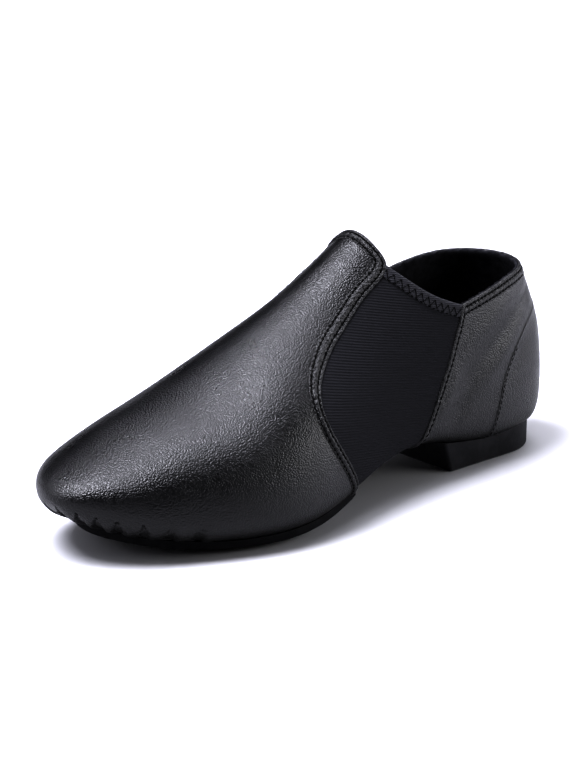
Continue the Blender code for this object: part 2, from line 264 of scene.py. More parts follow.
@dataclass
class Last:
    """The shape the upper is pulled over, with the folds the leather has taken."""

    swing: float
    creases: Sequence[Crease] = ()

    def __post_init__(self) -> None:
        """Lays splines through the columns of the sections."""
        seat, ball = HEEL_HEIGHT + CLEARANCE, PAD_THICKNESS - CLEARANCE
        table = np.array(SECTIONS)
        station, outer, inner, lift, under, wide, over, low, top, crest = table.T
        rest = ball + lift * (seat - ball)
        station, half = station * LENGTH, (outer - inner) / 2 * BALL_WIDTH
        up, down = (over - wide) * INSTEP, (wide - under) * INSTEP
        steps = np.linalg.norm(np.diff(np.stack([station, half, (up + down) / 2]), axis=1), axis=0)
        self.knots = np.concatenate([[0], np.cumsum(steps)]) / steps.sum()
        self.station = self.column(station)
        self.middle = self.column((outer + inner) / 2 * BALL_WIDTH + self.swing)
        self.half, self.up, self.down = (self.column(v, -1) for v in (half, up, down))
        self.wide = self.column(rest + wide * INSTEP)
        self.low_square, self.top_square, self.crest = (self.column(v) for v in (low, top, crest))
        self.fine = np.linspace(0, 1, 4001)
        self.fine_station = self.station(self.fine)

    def column(self, values: np.ndarray, sign: int = 1) -> Spline:
        """Interpolates a column; sizes change sign beyond the ends and places do not."""
        head, tail = slice(MIRRORED, 0, -1), slice(-2, -2 - MIRRORED, -1)
        knots = np.concatenate([-self.knots[head], self.knots, 2 - self.knots[tail]])
        return Spline(knots, np.concatenate([sign * values[head], values, sign * values[tail]]))

    def point(self, t: np.ndarray, angle: np.ndarray) -> np.ndarray:
        """Returns the surface's points; angle 0 is the outer side and a quarter turn is the top."""
        t, angle = np.broadcast_arrays(np.asarray(t, float), np.asarray(angle, float))
        c, s = np.cos(angle), np.sin(angle)
        square = self.top_square(t) * (1 + s) / 2 + self.low_square(t) * (1 - s) / 2
        across, height = c * (1 + square * s * s), s * (1 + square * c * c)
        across = across + self.crest(t) * (1 - across * across) * (1 + s) / 2
        up, down = self.up(t), self.down(t)
        reach = (up + down) / 2 + (up - down) / 2 * s * math.sqrt(1.16) / np.sqrt(s * s + 0.16)
        x, y = self.middle(t) + self.half(t) * across, LENGTH / 2 - self.station(t)
        return np.stack([x, y, self.wide(t) + reach * height], -1)

    def outward(self, t: np.ndarray, angle: np.ndarray, step: float = 1e-3) -> np.ndarray:
        """Returns the outward normals."""
        t = np.clip(t, 2 * step, 1 - 2 * step)
        along = self.point(t + step, angle) - self.point(t - step, angle)
        around = self.point(t, angle + step) - self.point(t, angle - step)
        normal = np.cross(around, along)
        return normal / np.maximum(np.linalg.norm(normal, axis=-1), 1e-12)[..., None]

    def folds(self, base: np.ndarray) -> np.ndarray:
        """Returns how far the creases lift the leather at points of the surface."""
        lift = np.zeros(base.shape[:-1])
        place = np.stack([LENGTH / 2 - base[..., 1], base[..., 2]], -1)
        outer = base[..., 0] > self.swing
        for crease in self.creases:
            a, b = (np.array(p) * (LENGTH, INSTEP) for p in (crease.start, crease.end))
            share = np.clip((place - a) @ (b - a) / ((b - a) @ (b - a)), 0, 1)
            away = np.linalg.norm(place - a - share[..., None] * (b - a), axis=-1)
            fade = np.sin(math.pi * (0.12 + 0.76 * share))
            amount = crease.depth * np.exp(-((away / crease.width) ** 2)) * fade
            lift += np.where(outer == (crease.side is Side.OUTER), amount, 0)
        return lift

    def skin(self, t: np.ndarray, angle: np.ndarray, distance: np.ndarray | float) -> np.ndarray:
        """Returns points at a distance outside the folded surface.

        Args:
            t: Places along the shoe, 0 at the heel and 1 at the toe.
            angle: Angles round the section.
            distance: Metres outside the surface, negative inside it.

        Returns:
            One point for each place.
        """
        base = self.point(t, angle)
        return base + self.outward(t, angle) * (distance + self.folds(base))[..., None]

    def t_at(self, station: np.ndarray | float) -> np.ndarray:
        """Returns the t of stations in metres."""
        return np.interp(station, self.fine_station, self.fine)

    def rise_at(self, t: np.ndarray, height: np.ndarray) -> np.ndarray:
        """Returns the rise above the horizontal at which the section has these heights."""
        low, high = np.full_like(t, UNDER), np.full_like(t, TOP)
        return halved(low, high, lambda rise: self.point(t, rise)[..., 2] < height)

    def on_line(self, line: np.ndarray, share: np.ndarray) -> tuple[np.ndarray, np.ndarray, np.ndarray]:
        """Reads a side-view line at shares of its points.

        Args:
            line: Stations and heights as shares.
            share: Where to read it, 0 to 1.

        Returns:
            The t, the height and the room to the ridge or the underside, negative beyond them.
        """
        rows = np.arange(len(line))
        at = np.interp(share, np.linspace(0, 1, len(line)), rows)
        s = np.interp(at, rows, line[:, 0]) * LENGTH
        z = np.interp(at, rows, line[:, 1]) * INSTEP
        t = self.t_at(np.clip(s, 0, LENGTH))
        ridge, under = (self.point(t, np.full_like(t, angle))[:, 2] for angle in (TOP, UNDER))
        room = np.minimum(ridge - z, z - under)
        return t, z, np.where((s > 0) & (s < LENGTH), room, -1.0)

    def trace(self, line: np.ndarray, side: Side, rows: int) -> np.ndarray:
        """Lays a side-view line on one side of the last.

        The line stops where it passes over the ridge or under the sole, which it meets at a right angle.

        Args:
            line: Stations and heights as shares.
            side: The side of the foot.
            rows: How many evenly spaced places to return.

        Returns:
            Columns t and angle, in the line's own order.
        """
        share = np.linspace(0, 1, 1500)
        room = self.on_line(line, share)[2]
        good = np.flatnonzero(room > 0)
        first, last, step = good[0], good[-1], share[1] - share[0]
        ends = [share[first], share[last]]
        if first > 0:
            ends[0] -= step * room[first] / (room[first] - max(room[first - 1], -MM))
        if last < len(share) - 1:
            ends[1] += step * room[last] / (room[last] - max(room[last + 1], -MM))
        eased = (1 - np.cos(np.linspace(0, math.pi, 900))) / 2
        t, z, _ = self.on_line(line, ends[0] + (ends[1] - ends[0]) * eased)
        rise = self.rise_at(t, z)
        if first > 0:
            rise[0] = TOP if rise[1] > 0 else UNDER
        if last < len(share) - 1:
            rise[-1] = TOP if rise[-2] > 0 else UNDER
        places = np.stack([t, side.turn(rise)], -1)
        path = run_along(self.point(*places.T))
        return resampled(places, path, np.linspace(0, path[-1], rows))

    def below(self, x: np.ndarray, y: np.ndarray, distance: float) -> np.ndarray:
        """Returns the underside's points above or below places on the floor.

        Args:
            x: Places across the shoe.
            y: Places along the shoe.
            distance: Metres outside the surface.

        Returns:
            Points with those x and y.
        """

        def at(t: np.ndarray, angle: np.ndarray) -> np.ndarray:
            """Returns the offset surface's points."""
            t = np.clip(t, 1e-4, 1 - 1e-4)
            return self.point(t, angle) + self.outward(t, angle) * distance

        t = self.t_at(LENGTH / 2 - y)
        across = (x - self.middle(t)) / np.maximum(np.abs(self.half(t)), MM)
        angle = UNDER + np.arcsin(np.clip(across, -0.95, 0.95))
        for _ in range(12):
            here = at(t, angle)
            by_t, by_a = (at(t + 1e-4, angle) - here) / 1e-4, (at(t, angle + 1e-3) - here) / 1e-3
            gap_x, gap_y = x - here[..., 0], y - here[..., 1]
            det = by_t[..., 0] * by_a[..., 1] - by_t[..., 1] * by_a[..., 0]
            det = np.where(np.abs(det) < 1e-9, 1e-9, det)
            step_t = (gap_x * by_a[..., 1] - gap_y * by_a[..., 0]) / det
            step_a = (by_t[..., 0] * gap_y - by_t[..., 1] * gap_x) / det
            t = np.clip(t + np.clip(step_t, -0.05, 0.05), 1e-4, 1 - 1e-4)
            angle = np.clip(angle + np.clip(step_a, -0.3, 0.3), -math.pi, 0)
        return np.stack([x, y, at(t, angle)[..., 2]], -1)


def rolled(distance: np.ndarray, radius: float, high: float, low: float) -> np.ndarray:
    """Returns the height of a sheet that rounds over its edge.

    Args:
        distance: Metres in from the edge.
        radius: How far in the rounding starts.
        high: Height on the sheet.
        low: Height at the edge.

    Returns:
        The height at each distance.
    """
    share = 1 - np.clip(distance / radius, 0, 1)
    return low + (high - low) * np.sqrt(np.maximum(1 - share * share, 0))


def placed(name: str, data: bpy.types.ID) -> bpy.types.Object:
    """Makes an object of a mesh, lamp or camera and links it to the scene."""
    obj = bpy.data.objects.new(name, data)
    bpy.context.scene.collection.objects.link(obj)
    return obj


def mesh_object(name: str, points: np.ndarray, faces: Sequence[tuple[int, ...]]) -> bpy.types.Object:
    """Makes a smooth closed mesh whose faces point outwards.

    Args:
        name: The piece's name.
        points: One row a corner.
        faces: Corners of each face.

    Returns:
        The object, linked to the scene.
    """
    mesh = bpy.data.meshes.new(name)
    mesh.from_pydata(points.tolist(), [], faces)
    edit = bmesh.new()
    edit.from_mesh(mesh)
    bmesh.ops.remove_doubles(edit, verts=edit.verts, dist=2e-6)
    bmesh.ops.dissolve_degenerate(edit, edges=edit.edges, dist=1e-6)
    bmesh.ops.recalc_face_normals(edit, faces=edit.faces)
    edit.to_mesh(mesh)
    edit.free()
    mesh.shade_smooth()
    mesh.set_sharp_from_angle(angle=math.radians(50))
    return placed(name, mesh)


def grid_faces(rows: int, columns: int, start: int = 0, wrap: bool = False) -> list[tuple[int, ...]]:
    """Returns the quads of a grid of points laid out row by row."""
    faces = []
    for i in range(rows - 1):
        low = start + i * columns
        high = low + columns
        for j in range(columns if wrap else columns - 1):
            k = (j + 1) % columns
            faces.append((low + j, low + k, high + k, high + j))
    return faces


def sheet(name: str, top: np.ndarray, bottom: np.ndarray, wrap: bool = False) -> bpy.types.Object:
    """Closes two grids of points into one thin solid.

    Args:
        name: The piece's name.
        top: Grid of outer points, rows by columns.
        bottom: The same grid on the other face.
        wrap: True where the last column meets the first.

    Returns:
        The object.
    """
    rows, columns = top.shape[:2]
    count = rows * columns
    faces = grid_faces(rows, columns, 0, wrap) + grid_faces(rows, columns, count, wrap)
    rim = list(range(count - columns, count))
    loops = [rim + [rim[0]]]
    if not wrap:
        first, last = (list(range(start, count, columns)) for start in (0, columns - 1))
        loops = [rim, list(range(columns)), first, last]
    for border in loops:
        faces += [(a, b, b + count, a + count) for a, b in zip(border, border[1:])]
    return mesh_object(name, np.concatenate([top.reshape(-1, 3), bottom.reshape(-1, 3)]), faces)


def loft(name: str, rings: np.ndarray) -> bpy.types.Object:
    """Joins rings of points into a tube with flat ends.

    Args:
        name: The piece's name.
        rings: Rings by points.

    Returns:
        The object.
    """
    rows, columns = rings.shape[:2]
    ends = [tuple(range(columns)), tuple(range((rows - 1) * columns, rows * columns))]
    return mesh_object(name, rings.reshape(-1, 3), grid_faces(rows, columns, 0, True) + ends)


def both_sides(last: Last, line: np.ndarray, rows: int) -> np.ndarray:
    """Traces a line from the outer side's end over the ridge to the inner side's end.

    Args:
        last: The last.
        line: A side-view line that starts beyond the ridge.
        rows: Places on each side.

    Returns:
        Columns t and angle.
    """
    outer, inner = (last.trace(line, side, rows) for side in (Side.OUTER, Side.INNER))
    inner[:, 1] += 2 * math.pi
    return np.concatenate([outer[::-1], inner[1:]])


def loop(last: Last, lines: Sequence[np.ndarray], rows: Sequence[int]) -> np.ndarray:
    """Closes side-view lines, which run from the ridge down under the sole, round both sides.

    Args:
        last: The last.
        lines: The lines, end to end.
        rows: Places along each line.

    Returns:
        Columns t and angle, with falling angles.
    """
    halves = []
    for side in (Side.OUTER, Side.INNER):
        traced = [last.trace(line, side, count) for line, count in zip(lines, rows)]
        halves.append(np.concatenate([traced[0]] + [piece[1:] for piece in traced[1:]]))
    edge = np.concatenate([halves[0], halves[1][::-1][1:-1]])
    if np.any(np.diff(edge[:, 1]) > 1e-6):
        LOG.warning("an edge turns back on itself by %.4f", np.diff(edge[:, 1]).max())
    return edge


def crowded(edge: np.ndarray, count: int, rise: float, spread: float, gain: float) -> np.ndarray:
    """Spaces a panel's edge anew, with more places near one height round the shoe.

    Args:
        edge: Closed edge, columns t and falling angle.
        count: How many places to return.
        rise: Where they crowd, as an angle above the middle of the side.
        spread: How far the crowding reaches.
        gain: How many times closer they lie there.

    Returns:
        The new edge.
    """
    turn = np.arcsin(np.clip(np.sin(edge[:, 1]), -1, 1))
    weight = 1 + gain * np.exp(-(((turn - rise) / spread) ** 2))
    path = np.concatenate([[0], np.cumsum(weight)])
    closed = np.concatenate([edge, [[edge[0, 0], edge[0, 1] - 2 * math.pi]]])
    return resampled(closed, path, np.linspace(0, path[-1], count, endpoint=False))


def strip(last: Last, line: np.ndarray, profile: Profile, rows: int, side: Side | None = None,
          height: Height | None = None) -> np.ndarray:
    """Carries a profile along a side-view line, on the surface of the last.

    Args:
        last: The last.
        line: The side-view line.
        profile: Pairs of the distance beside the line and the distance outside the surface.
        rows: Places along each side.
        side: One side, or both with the ridge between them where None.
        height: Extra height by the distance along the strip and the distance beside the line.

    Returns:
        Rings by profile points by 3.
    """
    rings, traced = [], {}
    for across, out in profile:
        if across not in traced:
            moved = beside(line, across)
            traced[across] = last.trace(moved, side, rows) if side else both_sides(last, moved, rows)
        t, angle = traced[across].T
        extra = height(run_along(last.point(t, angle)), across) if height and out > 0 else 0.0
        rings.append(last.skin(t, angle, out + extra))
    return np.stack(rings, 1)


@dataclass(frozen=True)
class Panel:
    """How a leather panel that closes round the toe or the heel is meshed."""

    toe: bool
    rings: int
    low: float
    edge_rings: tuple[float, ...] = (0.0, 0.12, 0.3, 0.55, 0.9, 1.5, 2.4)
    toe_spacing: tuple[tuple[float, ...], ...] = ((0, 0.08, 0.58, 1), (0, 0.08, 0.33, 1))

    def build(self, last: Last, name: str, edge: np.ndarray, height: Callable[[np.ndarray], np.ndarray],
              relief: Callable[[np.ndarray], np.ndarray] | None = None) -> bpy.types.Object:
        """Makes the panel, in rings from the end of the shoe to the panel's edge.

        Args:
            last: The last.
            name: The piece's name.
            edge: The panel's closed edge, columns t and angle, with falling angles.
            height: The outer face's distance outside the surface by the distance in from the edge.
            relief: Extra height by the points of the surface.

        Returns:
            The piece.
        """
        pole = 1.0 if self.toe else 0.0
        near = np.array(self.edge_rings) * MM
        fan = edge[:, 0] - pole
        probe = np.stack([last.point(pole + f * fan, edge[:, 1]) for f in np.linspace(0, 1, 40)])
        reach = run_along(probe)[-1]
        far = np.linspace(0, 1, self.rings)
        if self.toe:
            far = np.interp(far, *self.toe_spacing)
        inner = far[:, None] * (1 - near[-1] / reach)[None, :]
        shares = np.concatenate([inner, 1 - near[-2::-1, None] / reach[None, :]])
        t, angle = pole + shares * fan, np.broadcast_to(edge[:, 1], shares.shape)
        lift = height((1 - shares) * reach)
        if relief is not None:
            lift = lift + relief(last.point(t, angle))
        top, bottom = last.skin(t, angle, lift), last.skin(t, angle, np.full_like(t, self.low))
        middle = last.point(np.array(pole), np.array(0.0))
        for face, out in ((top, float(lift[0].mean())), (bottom, self.low)):
            face[0] = middle + np.array([0, -out if self.toe else out, 0])
        return sheet(name, top, bottom, wrap=True)


class Surface:
    """A material and the few kinds of step that the finishes are made of."""

    def __init__(self, name: str, roughness: float, specular: float) -> None:
        """Makes the material with its shader.

        Args:
            name: The material's name.
            roughness: The shader's roughness.
            specular: The shader's specular level.
        """
        self.material = bpy.data.materials.new(name)
        self.material.use_nodes = True
        self.nodes, self.links = self.material.node_tree.nodes, self.material.node_tree.links
        self.inputs = self.nodes["Principled BSDF"].inputs
        self.set({"Roughness": roughness, "Specular IOR Level": specular})
        self.place = self.nodes.new("ShaderNodeTexCoord").outputs["Object"]

    def set(self, values: dict[str, object]) -> None:
        """Sets the shader's own values."""
        for key, value in values.items():
            self.inputs[key].default_value = value

    def texture(self, kind: str, **sizes: float) -> bpy.types.Node:
        """Adds a texture node, read at the object's own coordinates, and returns it."""
        node = self.nodes.new(f"ShaderNodeTex{kind}")
        self.links.new(self.place, node.inputs["Vector"])
        for key, value in sizes.items():
            node.inputs[key].default_value = value
        return node

    def noise(self, scale: float, detail: float, roughness: float = 0.5) -> bpy.types.NodeSocket:
        """Adds a noise texture and returns its value."""
        return self.texture("Noise", Scale=scale, Detail=detail, Roughness=roughness).outputs["Fac"]

    def maths(self, operation: str, *values: bpy.types.NodeSocket | float) -> bpy.types.NodeSocket:
        """Adds a step of arithmetic on sockets or numbers and returns its result."""
        node = self.nodes.new("ShaderNodeMath")
        node.operation = operation
        for socket, value in zip(node.inputs, values):
            if isinstance(value, bpy.types.NodeSocket):
                self.links.new(value, socket)
            else:
                socket.default_value = value
        return node.outputs[0]

    def ramp(self, value: bpy.types.NodeSocket, to: tuple[float, float],
             start: tuple[float, float] = (0.0, 1.0)) -> bpy.types.NodeSocket:
        """Maps a value from one range to another and returns the socket."""
        node = self.nodes.new("ShaderNodeMapRange")
        self.links.new(value, node.inputs["Value"])
        for key, number in zip(("From Min", "From Max", "To Min", "To Max"), (*start, *to)):
            node.inputs[key].default_value = number
        return node.outputs["Result"]

    def tint(self, share: bpy.types.NodeSocket, first: Colour, second: Colour) -> None:
        """Lets a texture turn the shader's colour from the first to the second."""
        mix = self.nodes.new("ShaderNodeMix")
        mix.data_type = "RGBA"
        self.links.new(share, mix.inputs[0])
        mix.inputs[6].default_value, mix.inputs[7].default_value = (*first, 1), (*second, 1)
        self.links.new(mix.outputs[2], self.inputs["Base Color"])

    def bump(self, height: bpy.types.NodeSocket, depth: float, strength: float) -> None:
        """Adds a layer of relief, of a real depth in metres, to what the shader has."""
        bump = self.nodes.new("ShaderNodeBump")
        bump.inputs["Strength"].default_value, bump.inputs["Distance"].default_value = strength, depth
        self.links.new(height, bump.inputs["Height"])
        before = self.inputs["Normal"].links
        if before:
            self.links.new(before[0].from_socket, bump.inputs["Normal"])
        self.links.new(bump.outputs["Normal"], self.inputs["Normal"])


@dataclass(frozen=True)
class Finish:
    """What a piece is made of: one procedural material, shared by the pieces that wear it."""

    name: str
    colour: Colour
    roughness: float
    specular: float

    def material(self) -> bpy.types.Material:
        """Returns the material, made once."""
        found = bpy.data.materials.get(self.name)
        if found is not None:
            return found
        surface = Surface(self.name, self.roughness, self.specular)
        surface.set({"Base Color": (*self.colour, 1)})
        self.dress(surface)
        return surface.material

    def mottle(self, surface: Surface, share: bpy.types.NodeSocket, start: tuple[float, float],
               gain: float) -> None:
        """Lightens the colour up to a gain where a texture runs through a range of its values."""
        lighter = tuple(c * gain for c in self.colour)
        surface.tint(surface.ramp(share, (0.0, 1.0), start), self.colour, lighter)

    def dress(self, surface: Surface) -> None:
        """Adds the pattern to the shader; each kind of finish has its own."""
        raise NotImplementedError


@dataclass(frozen=True)
class Leather(Finish):
    """Semi-gloss leather with a fine pebble grain."""

    grain: float = 1450.0
    grain_depth: float = 0.00022
    coat: float = 0.04

    def dress(self, surface: Surface) -> None:
        """Adds pebbles, finer pores and slow changes of gloss."""
        surface.set({"Coat Weight": self.coat, "Coat Roughness": 0.30})
        pebble = surface.texture("Voronoi", Scale=self.grain, Randomness=1.0)
        pebble.feature = "SMOOTH_F1"
        pebble.inputs["Smoothness"].default_value = 0.30
        pores, sway = surface.noise(2600.0, 3.0, 0.6), surface.noise(70.0, 3.0, 0.5)
        surface.bump(sway, 0.0003, 0.5)
        surface.bump(surface.ramp(pebble.outputs["Distance"], (1.0, 0.0), (0.0, 0.8)), self.grain_depth, 0.8)
        surface.bump(pores, self.grain_depth * 0.5, 0.7)
        gloss = surface.ramp(sway, (self.roughness - 0.05, self.roughness + 0.08), (0.3, 0.7))
        surface.links.new(gloss, surface.inputs["Roughness"])
        self.mottle(surface, pores, (0.35, 0.75), 1.7)


@dataclass(frozen=True)
class Elastic(Finish):
    """Matte woven elastic with fine ribs that run forwards and a little up."""

    pitch: float = 0.00105
    rise: float = 0.2177
    rib_depth: float = 0.00022
    yarn_depth: float = 0.00002

    def dress(self, surface: Surface) -> None:
        """Adds the ribs, the yarns that cross them and the fibres."""
        surface.set({"Sheen Weight": 0.01, "Sheen Roughness": 0.5})
        split = surface.nodes.new("ShaderNodeSeparateXYZ")
        surface.links.new(surface.place, split.inputs[0])
        y, z = split.outputs["Y"], split.outputs["Z"]
        ribs = surface.maths("MULTIPLY_ADD", y, self.rise, z)
        waves = ((ribs, self.pitch, self.rib_depth), (y, self.pitch * 0.75, self.yarn_depth))
        for source, pitch, depth in waves:
            wave = surface.maths("SINE", surface.maths("MULTIPLY", source, 2 * math.pi / pitch))
            surface.bump(surface.ramp(wave, (0.0, 1.0), (-1.0, 1.0)), depth, 0.8)
        fibres = surface.noise(3500.0, 4.0, 0.7)
        surface.bump(fibres, 0.00008, 0.8)
        self.mottle(surface, fibres, (0.3, 0.7), 2.2)


@dataclass(frozen=True)
class Rubber(Finish):
    """Matte moulded rubber or suede with a fine even tooth."""

    tooth: float = 1800.0

    def dress(self, surface: Surface) -> None:
        """Adds the tooth and faint scuffs."""
        surface.bump(surface.noise(self.tooth, 4.0, 0.7), 0.00012, 0.7)
        self.mottle(surface, surface.noise(120.0, 5.0, 0.7), (0.4, 0.7), 1.8)


@dataclass(frozen=True)
class Nap(Finish):
    """Brushed lining cloth with a short nap."""

    def dress(self, surface: Surface) -> None:
        """Adds the nap's lie and its tufts."""
        surface.set({"Sheen Weight": 0.01, "Sheen Roughness": 0.6})
        surface.bump(surface.noise(1500.0, 5.0, 0.75), 0.0004, 1.0)
        self.mottle(surface, surface.noise(220.0, 3.0, 0.6), (0.35, 0.65), 2.2)


@dataclass(frozen=True)
class Thread(Finish):
    """Twisted sewing thread."""

    twist: float = 2500.0

    def dress(self, surface: Surface) -> None:
        """Adds the plies."""
        plies = surface.texture("Wave", Scale=self.twist, Distortion=1.0)
        surface.bump(plies.outputs["Fac"], 0.00005, 0.8)


VAMP_LEATHER = Leather("vamp_leather_black", (0.0020, 0.0020, 0.0026), 0.31, 0.48)
BAND_LEATHER = Leather("band_leather_black", (0.0040, 0.0040, 0.0046), 0.33, 0.44, grain=1700.0,
                       grain_depth=0.00028)
ELASTIC = Elastic("elastic_black", (0.0140, 0.0140, 0.0160), 0.92, 0.05)
HEM_ELASTIC = Elastic("hem_elastic_black", (0.0220, 0.0220, 0.0250), 0.70, 0.14, pitch=0.0008)
HEEL_RUBBER = Rubber("heel_rubber_black", (0.0160, 0.0160, 0.0180), 0.62, 0.12)
SOLE_SUEDE = Rubber("sole_suede_black", (0.0090, 0.0090, 0.0100), 0.85, 0.08, tooth=1300.0)
LINING_NAP = Nap("lining_nap_black", (0.0180, 0.0180, 0.0210), 0.95, 0.04)
BLACK_THREAD = Thread("thread_black", (0.0006, 0.0006, 0.0007), 0.75, 0.08)
# Lighter grey for the heel block's bottom rim: a painted reflection of the white floor on the bevel, not a
# paint on the block.
FLOOR_REFLECTION_RIM = Rubber("painted_floor_reflection_grey", (0.0500, 0.0500, 0.0520), 0.60, 0.4)


def clad(piece: bpy.types.Object, finish: Finish, slot: str, *nodes: str) -> bpy.types.Object:
    """Gives a piece its finish and its place on the body.

    Args:
        piece: The piece.
        finish: What it is made of.
        slot: Not used.
        nodes: The frame's nodes that it stands for.

    Returns:
        The piece.
    """
    piece.data.materials.clear()
    piece.data.materials.append(finish.material())
    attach(piece, "root")
    if nodes:
        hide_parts(*nodes)
    LOG.info("%s: %d faces in %s", piece.name, len(piece.data.polygons), finish.name)
    return piece


class Tree:
    """A geometry node tree with named inputs."""

    def __init__(self, name: str, inputs: dict[str, tuple[str, object]]) -> None:
        """Starts the tree.

        Args:
            name: The tree's name.
            inputs: Kind of socket and default value by input name, besides the geometry.
        """
        self.group = bpy.data.node_groups.new(name, "GeometryNodeTree")
        sockets = {"Geometry": ("Geometry", None), **inputs}
        for key, (kind, value) in sockets.items():
            item = self.group.interface.new_socket(key, in_out="INPUT", socket_type=f"NodeSocket{kind}")
            if value is not None:
                item.default_value = value
        self.group.interface.new_socket("Geometry", in_out="OUTPUT", socket_type="NodeSocketGeometry")
        self.start = self.group.nodes.new("NodeGroupInput").outputs

    def node(self, kind: str, inputs: dict[str | int, object], **settings: str) -> bpy.types.NodeSocket:
        """Adds a node.

        Args:
            kind: The node's type.
            inputs: A socket to link or a value, by input.
            settings: The node's own options.

        Returns:
            The node's first output.
        """
        made = self.group.nodes.new(kind)
        for key, value in settings.items():
            setattr(made, key, value)
        for key, value in inputs.items():
            if isinstance(value, bpy.types.NodeSocket):
                self.group.links.new(value, made.inputs[key])
            else:
                made.inputs[key].default_value = value
        return made.outputs[0]

    def steps(self) -> bpy.types.NodeSocket:
        """Turns the path into a curve with a point at each step of the pitch, and returns it."""
        curve = self.node("GeometryNodeMeshToCurve", {"Mesh": self.start["Geometry"]})
        inputs = {"Curve": curve, "Length": self.start["Pitch"]}
        return self.node("GeometryNodeResampleCurve", inputs, mode="LENGTH")

    def outward(self) -> bpy.types.NodeSocket:
        """Reads the surface's normals from the path and returns them."""
        return self.node("GeometryNodeInputNamedAttribute", {"Name": "out"}, data_type="FLOAT_VECTOR")

    def close(self, geometry: bpy.types.NodeSocket) -> bpy.types.NodeTree:
        """Makes the instances real and smooth, gives them their thread and returns the tree."""
        real = self.node("GeometryNodeRealizeInstances", {"Geometry": geometry})
        smoothed = self.node("GeometryNodeSetShadeSmooth", {"Geometry": real})
        inputs = {"Geometry": smoothed, "Material": self.start["Thread"]}
        painted = self.node("GeometryNodeSetMaterial", inputs)
        self.group.links.new(painted, self.group.nodes.new("NodeGroupOutput").inputs["Geometry"])
        return self.group


def run_tree(source: bpy.types.Object, tree: bpy.types.NodeTree, values: dict[str, object],
             name: str) -> bpy.types.Object:
    """Runs a node tree on an object and keeps the result as a plain mesh.

    Args:
        source: The object that the tree reads; it is removed.
        tree: The tree.
        values: Values by input name.
        name: The new piece's name.

    Returns:
        The piece.
    """
    modifier = source.modifiers.new("nodes", "NODES")
    modifier.node_group = tree
    for item in tree.interface.items_tree:
        if item.in_out == "INPUT" and item.name in values:
            modifier[item.identifier] = values[item.name]
    graph = bpy.context.evaluated_depsgraph_get()
    mesh = bpy.data.meshes.new_from_object(source.evaluated_get(graph))
    mesh.name = name
    bpy.data.objects.remove(source)
    return placed(name, mesh)


@dataclass
class Sewing:
    """The threads: straight stitches in rows and the zigzag over the hems."""

    last: Last
    pitch: float = 2.3 * MM
    length: float = 1.7 * MM
    radius: float = 0.24 * MM
    zigzag_pitch: float = 1.8 * MM
    zigzag_height: float = 2.9 * MM
    zigzag_radius: float = 0.22 * MM

    def __post_init__(self) -> None:
        """Builds both trees."""
        self.straight, self.zigzag = self.straight_tree(), self.zigzag_tree()

    def straight_tree(self) -> bpy.types.NodeTree:
        """Builds the tree that sets one stitch at each step of a path, and returns it."""
        tree = Tree("straight_stitches", {
            "Pitch": ("Float", self.pitch), "Stitch": ("Vector", (1, 1, 1)), "Thread": ("Material", None),
        })
        ball = tree.node("GeometryNodeMeshUVSphere", {"Segments": 10, "Rings": 7, "Radius": 1.0})
        shape = tree.node("GeometryNodeTransform", {"Geometry": ball, "Scale": tree.start["Stitch"]})
        along = tree.node("GeometryNodeInputTangent", {})
        aim = tree.node("FunctionNodeAxesToRotation", {0: along, 1: tree.outward()}, primary_axis="X",
                        secondary_axis="Z")
        inputs = {"Points": tree.steps(), "Instance": shape, "Rotation": aim}
        return tree.close(tree.node("GeometryNodeInstanceOnPoints", inputs))

    def zigzag_tree(self) -> bpy.types.NodeTree:
        """Builds the tree that leads one thread from side to side of a path, and returns it."""
        tree = Tree("zigzag_stitches", {
            "Pitch": ("Float", self.zigzag_pitch), "Height": ("Float", self.zigzag_height),
            "Radius": ("Float", self.zigzag_radius), "Thread": ("Material", None),
        })
        along = tree.node("GeometryNodeInputTangent", {})
        across = tree.node("ShaderNodeVectorMath", {0: tree.outward(), 1: along}, operation="CROSS_PRODUCT")
        number = tree.node("GeometryNodeInputIndex", {})
        odd = tree.node("ShaderNodeMath", {0: number, 1: 2.0}, operation="MODULO")
        swing = tree.node("ShaderNodeMath", {0: odd, 1: 0.5}, operation="SUBTRACT")
        reach = tree.node("ShaderNodeMath", {0: swing, 1: tree.start["Height"]}, operation="MULTIPLY")
        shift = tree.node("ShaderNodeVectorMath", {0: across, "Scale": reach}, operation="SCALE")
        moved = tree.node("GeometryNodeSetPosition", {"Geometry": tree.steps(), "Offset": shift})
        circle = {"Resolution": 7, "Radius": tree.start["Radius"]}
        ring = tree.node("GeometryNodeCurvePrimitiveCircle", circle)
        tube = {"Curve": moved, "Profile Curve": ring, "Fill Caps": True}
        return tree.close(tree.node("GeometryNodeCurveToMesh", tube))

    def row(self, name: str, places: np.ndarray, out: float, zigzag: bool = False) -> bpy.types.Object:
        """Sews along places of the surface.

        Args:
            name: The piece's name.
            places: Columns t and angle.
            out: Height of the thread's middle outside the surface, in millimetres.
            zigzag: True for the zigzag, False for a straight row.

        Returns:
            The threads as one piece.
        """
        points = self.last.skin(*places.T, out * MM)
        mesh = bpy.data.meshes.new(f"{name}_path")
        mesh.from_pydata(points.tolist(), [(i, i + 1) for i in range(len(points) - 1)], [])
        normals = self.last.outward(*places.T).astype(np.float32)
        mesh.attributes.new("out", "FLOAT_VECTOR", "POINT").data.foreach_set("vector", normals.ravel())
        values = {"Pitch": self.pitch, "Stitch": (self.length / 2, self.radius, self.radius)}
        if zigzag:
            values = {"Pitch": self.zigzag_pitch, "Height": self.zigzag_height, "Radius": self.zigzag_radius}
        values["Thread"] = BLACK_THREAD.material()
        return run_tree(placed(mesh.name, mesh), self.zigzag if zigzag else self.straight, values, name)


def scaled(*pairs: tuple[float, float]) -> Profile:
    """Turns a profile drawn in millimetres into metres."""
    return tuple((a * MM, b * MM) for a, b in pairs)


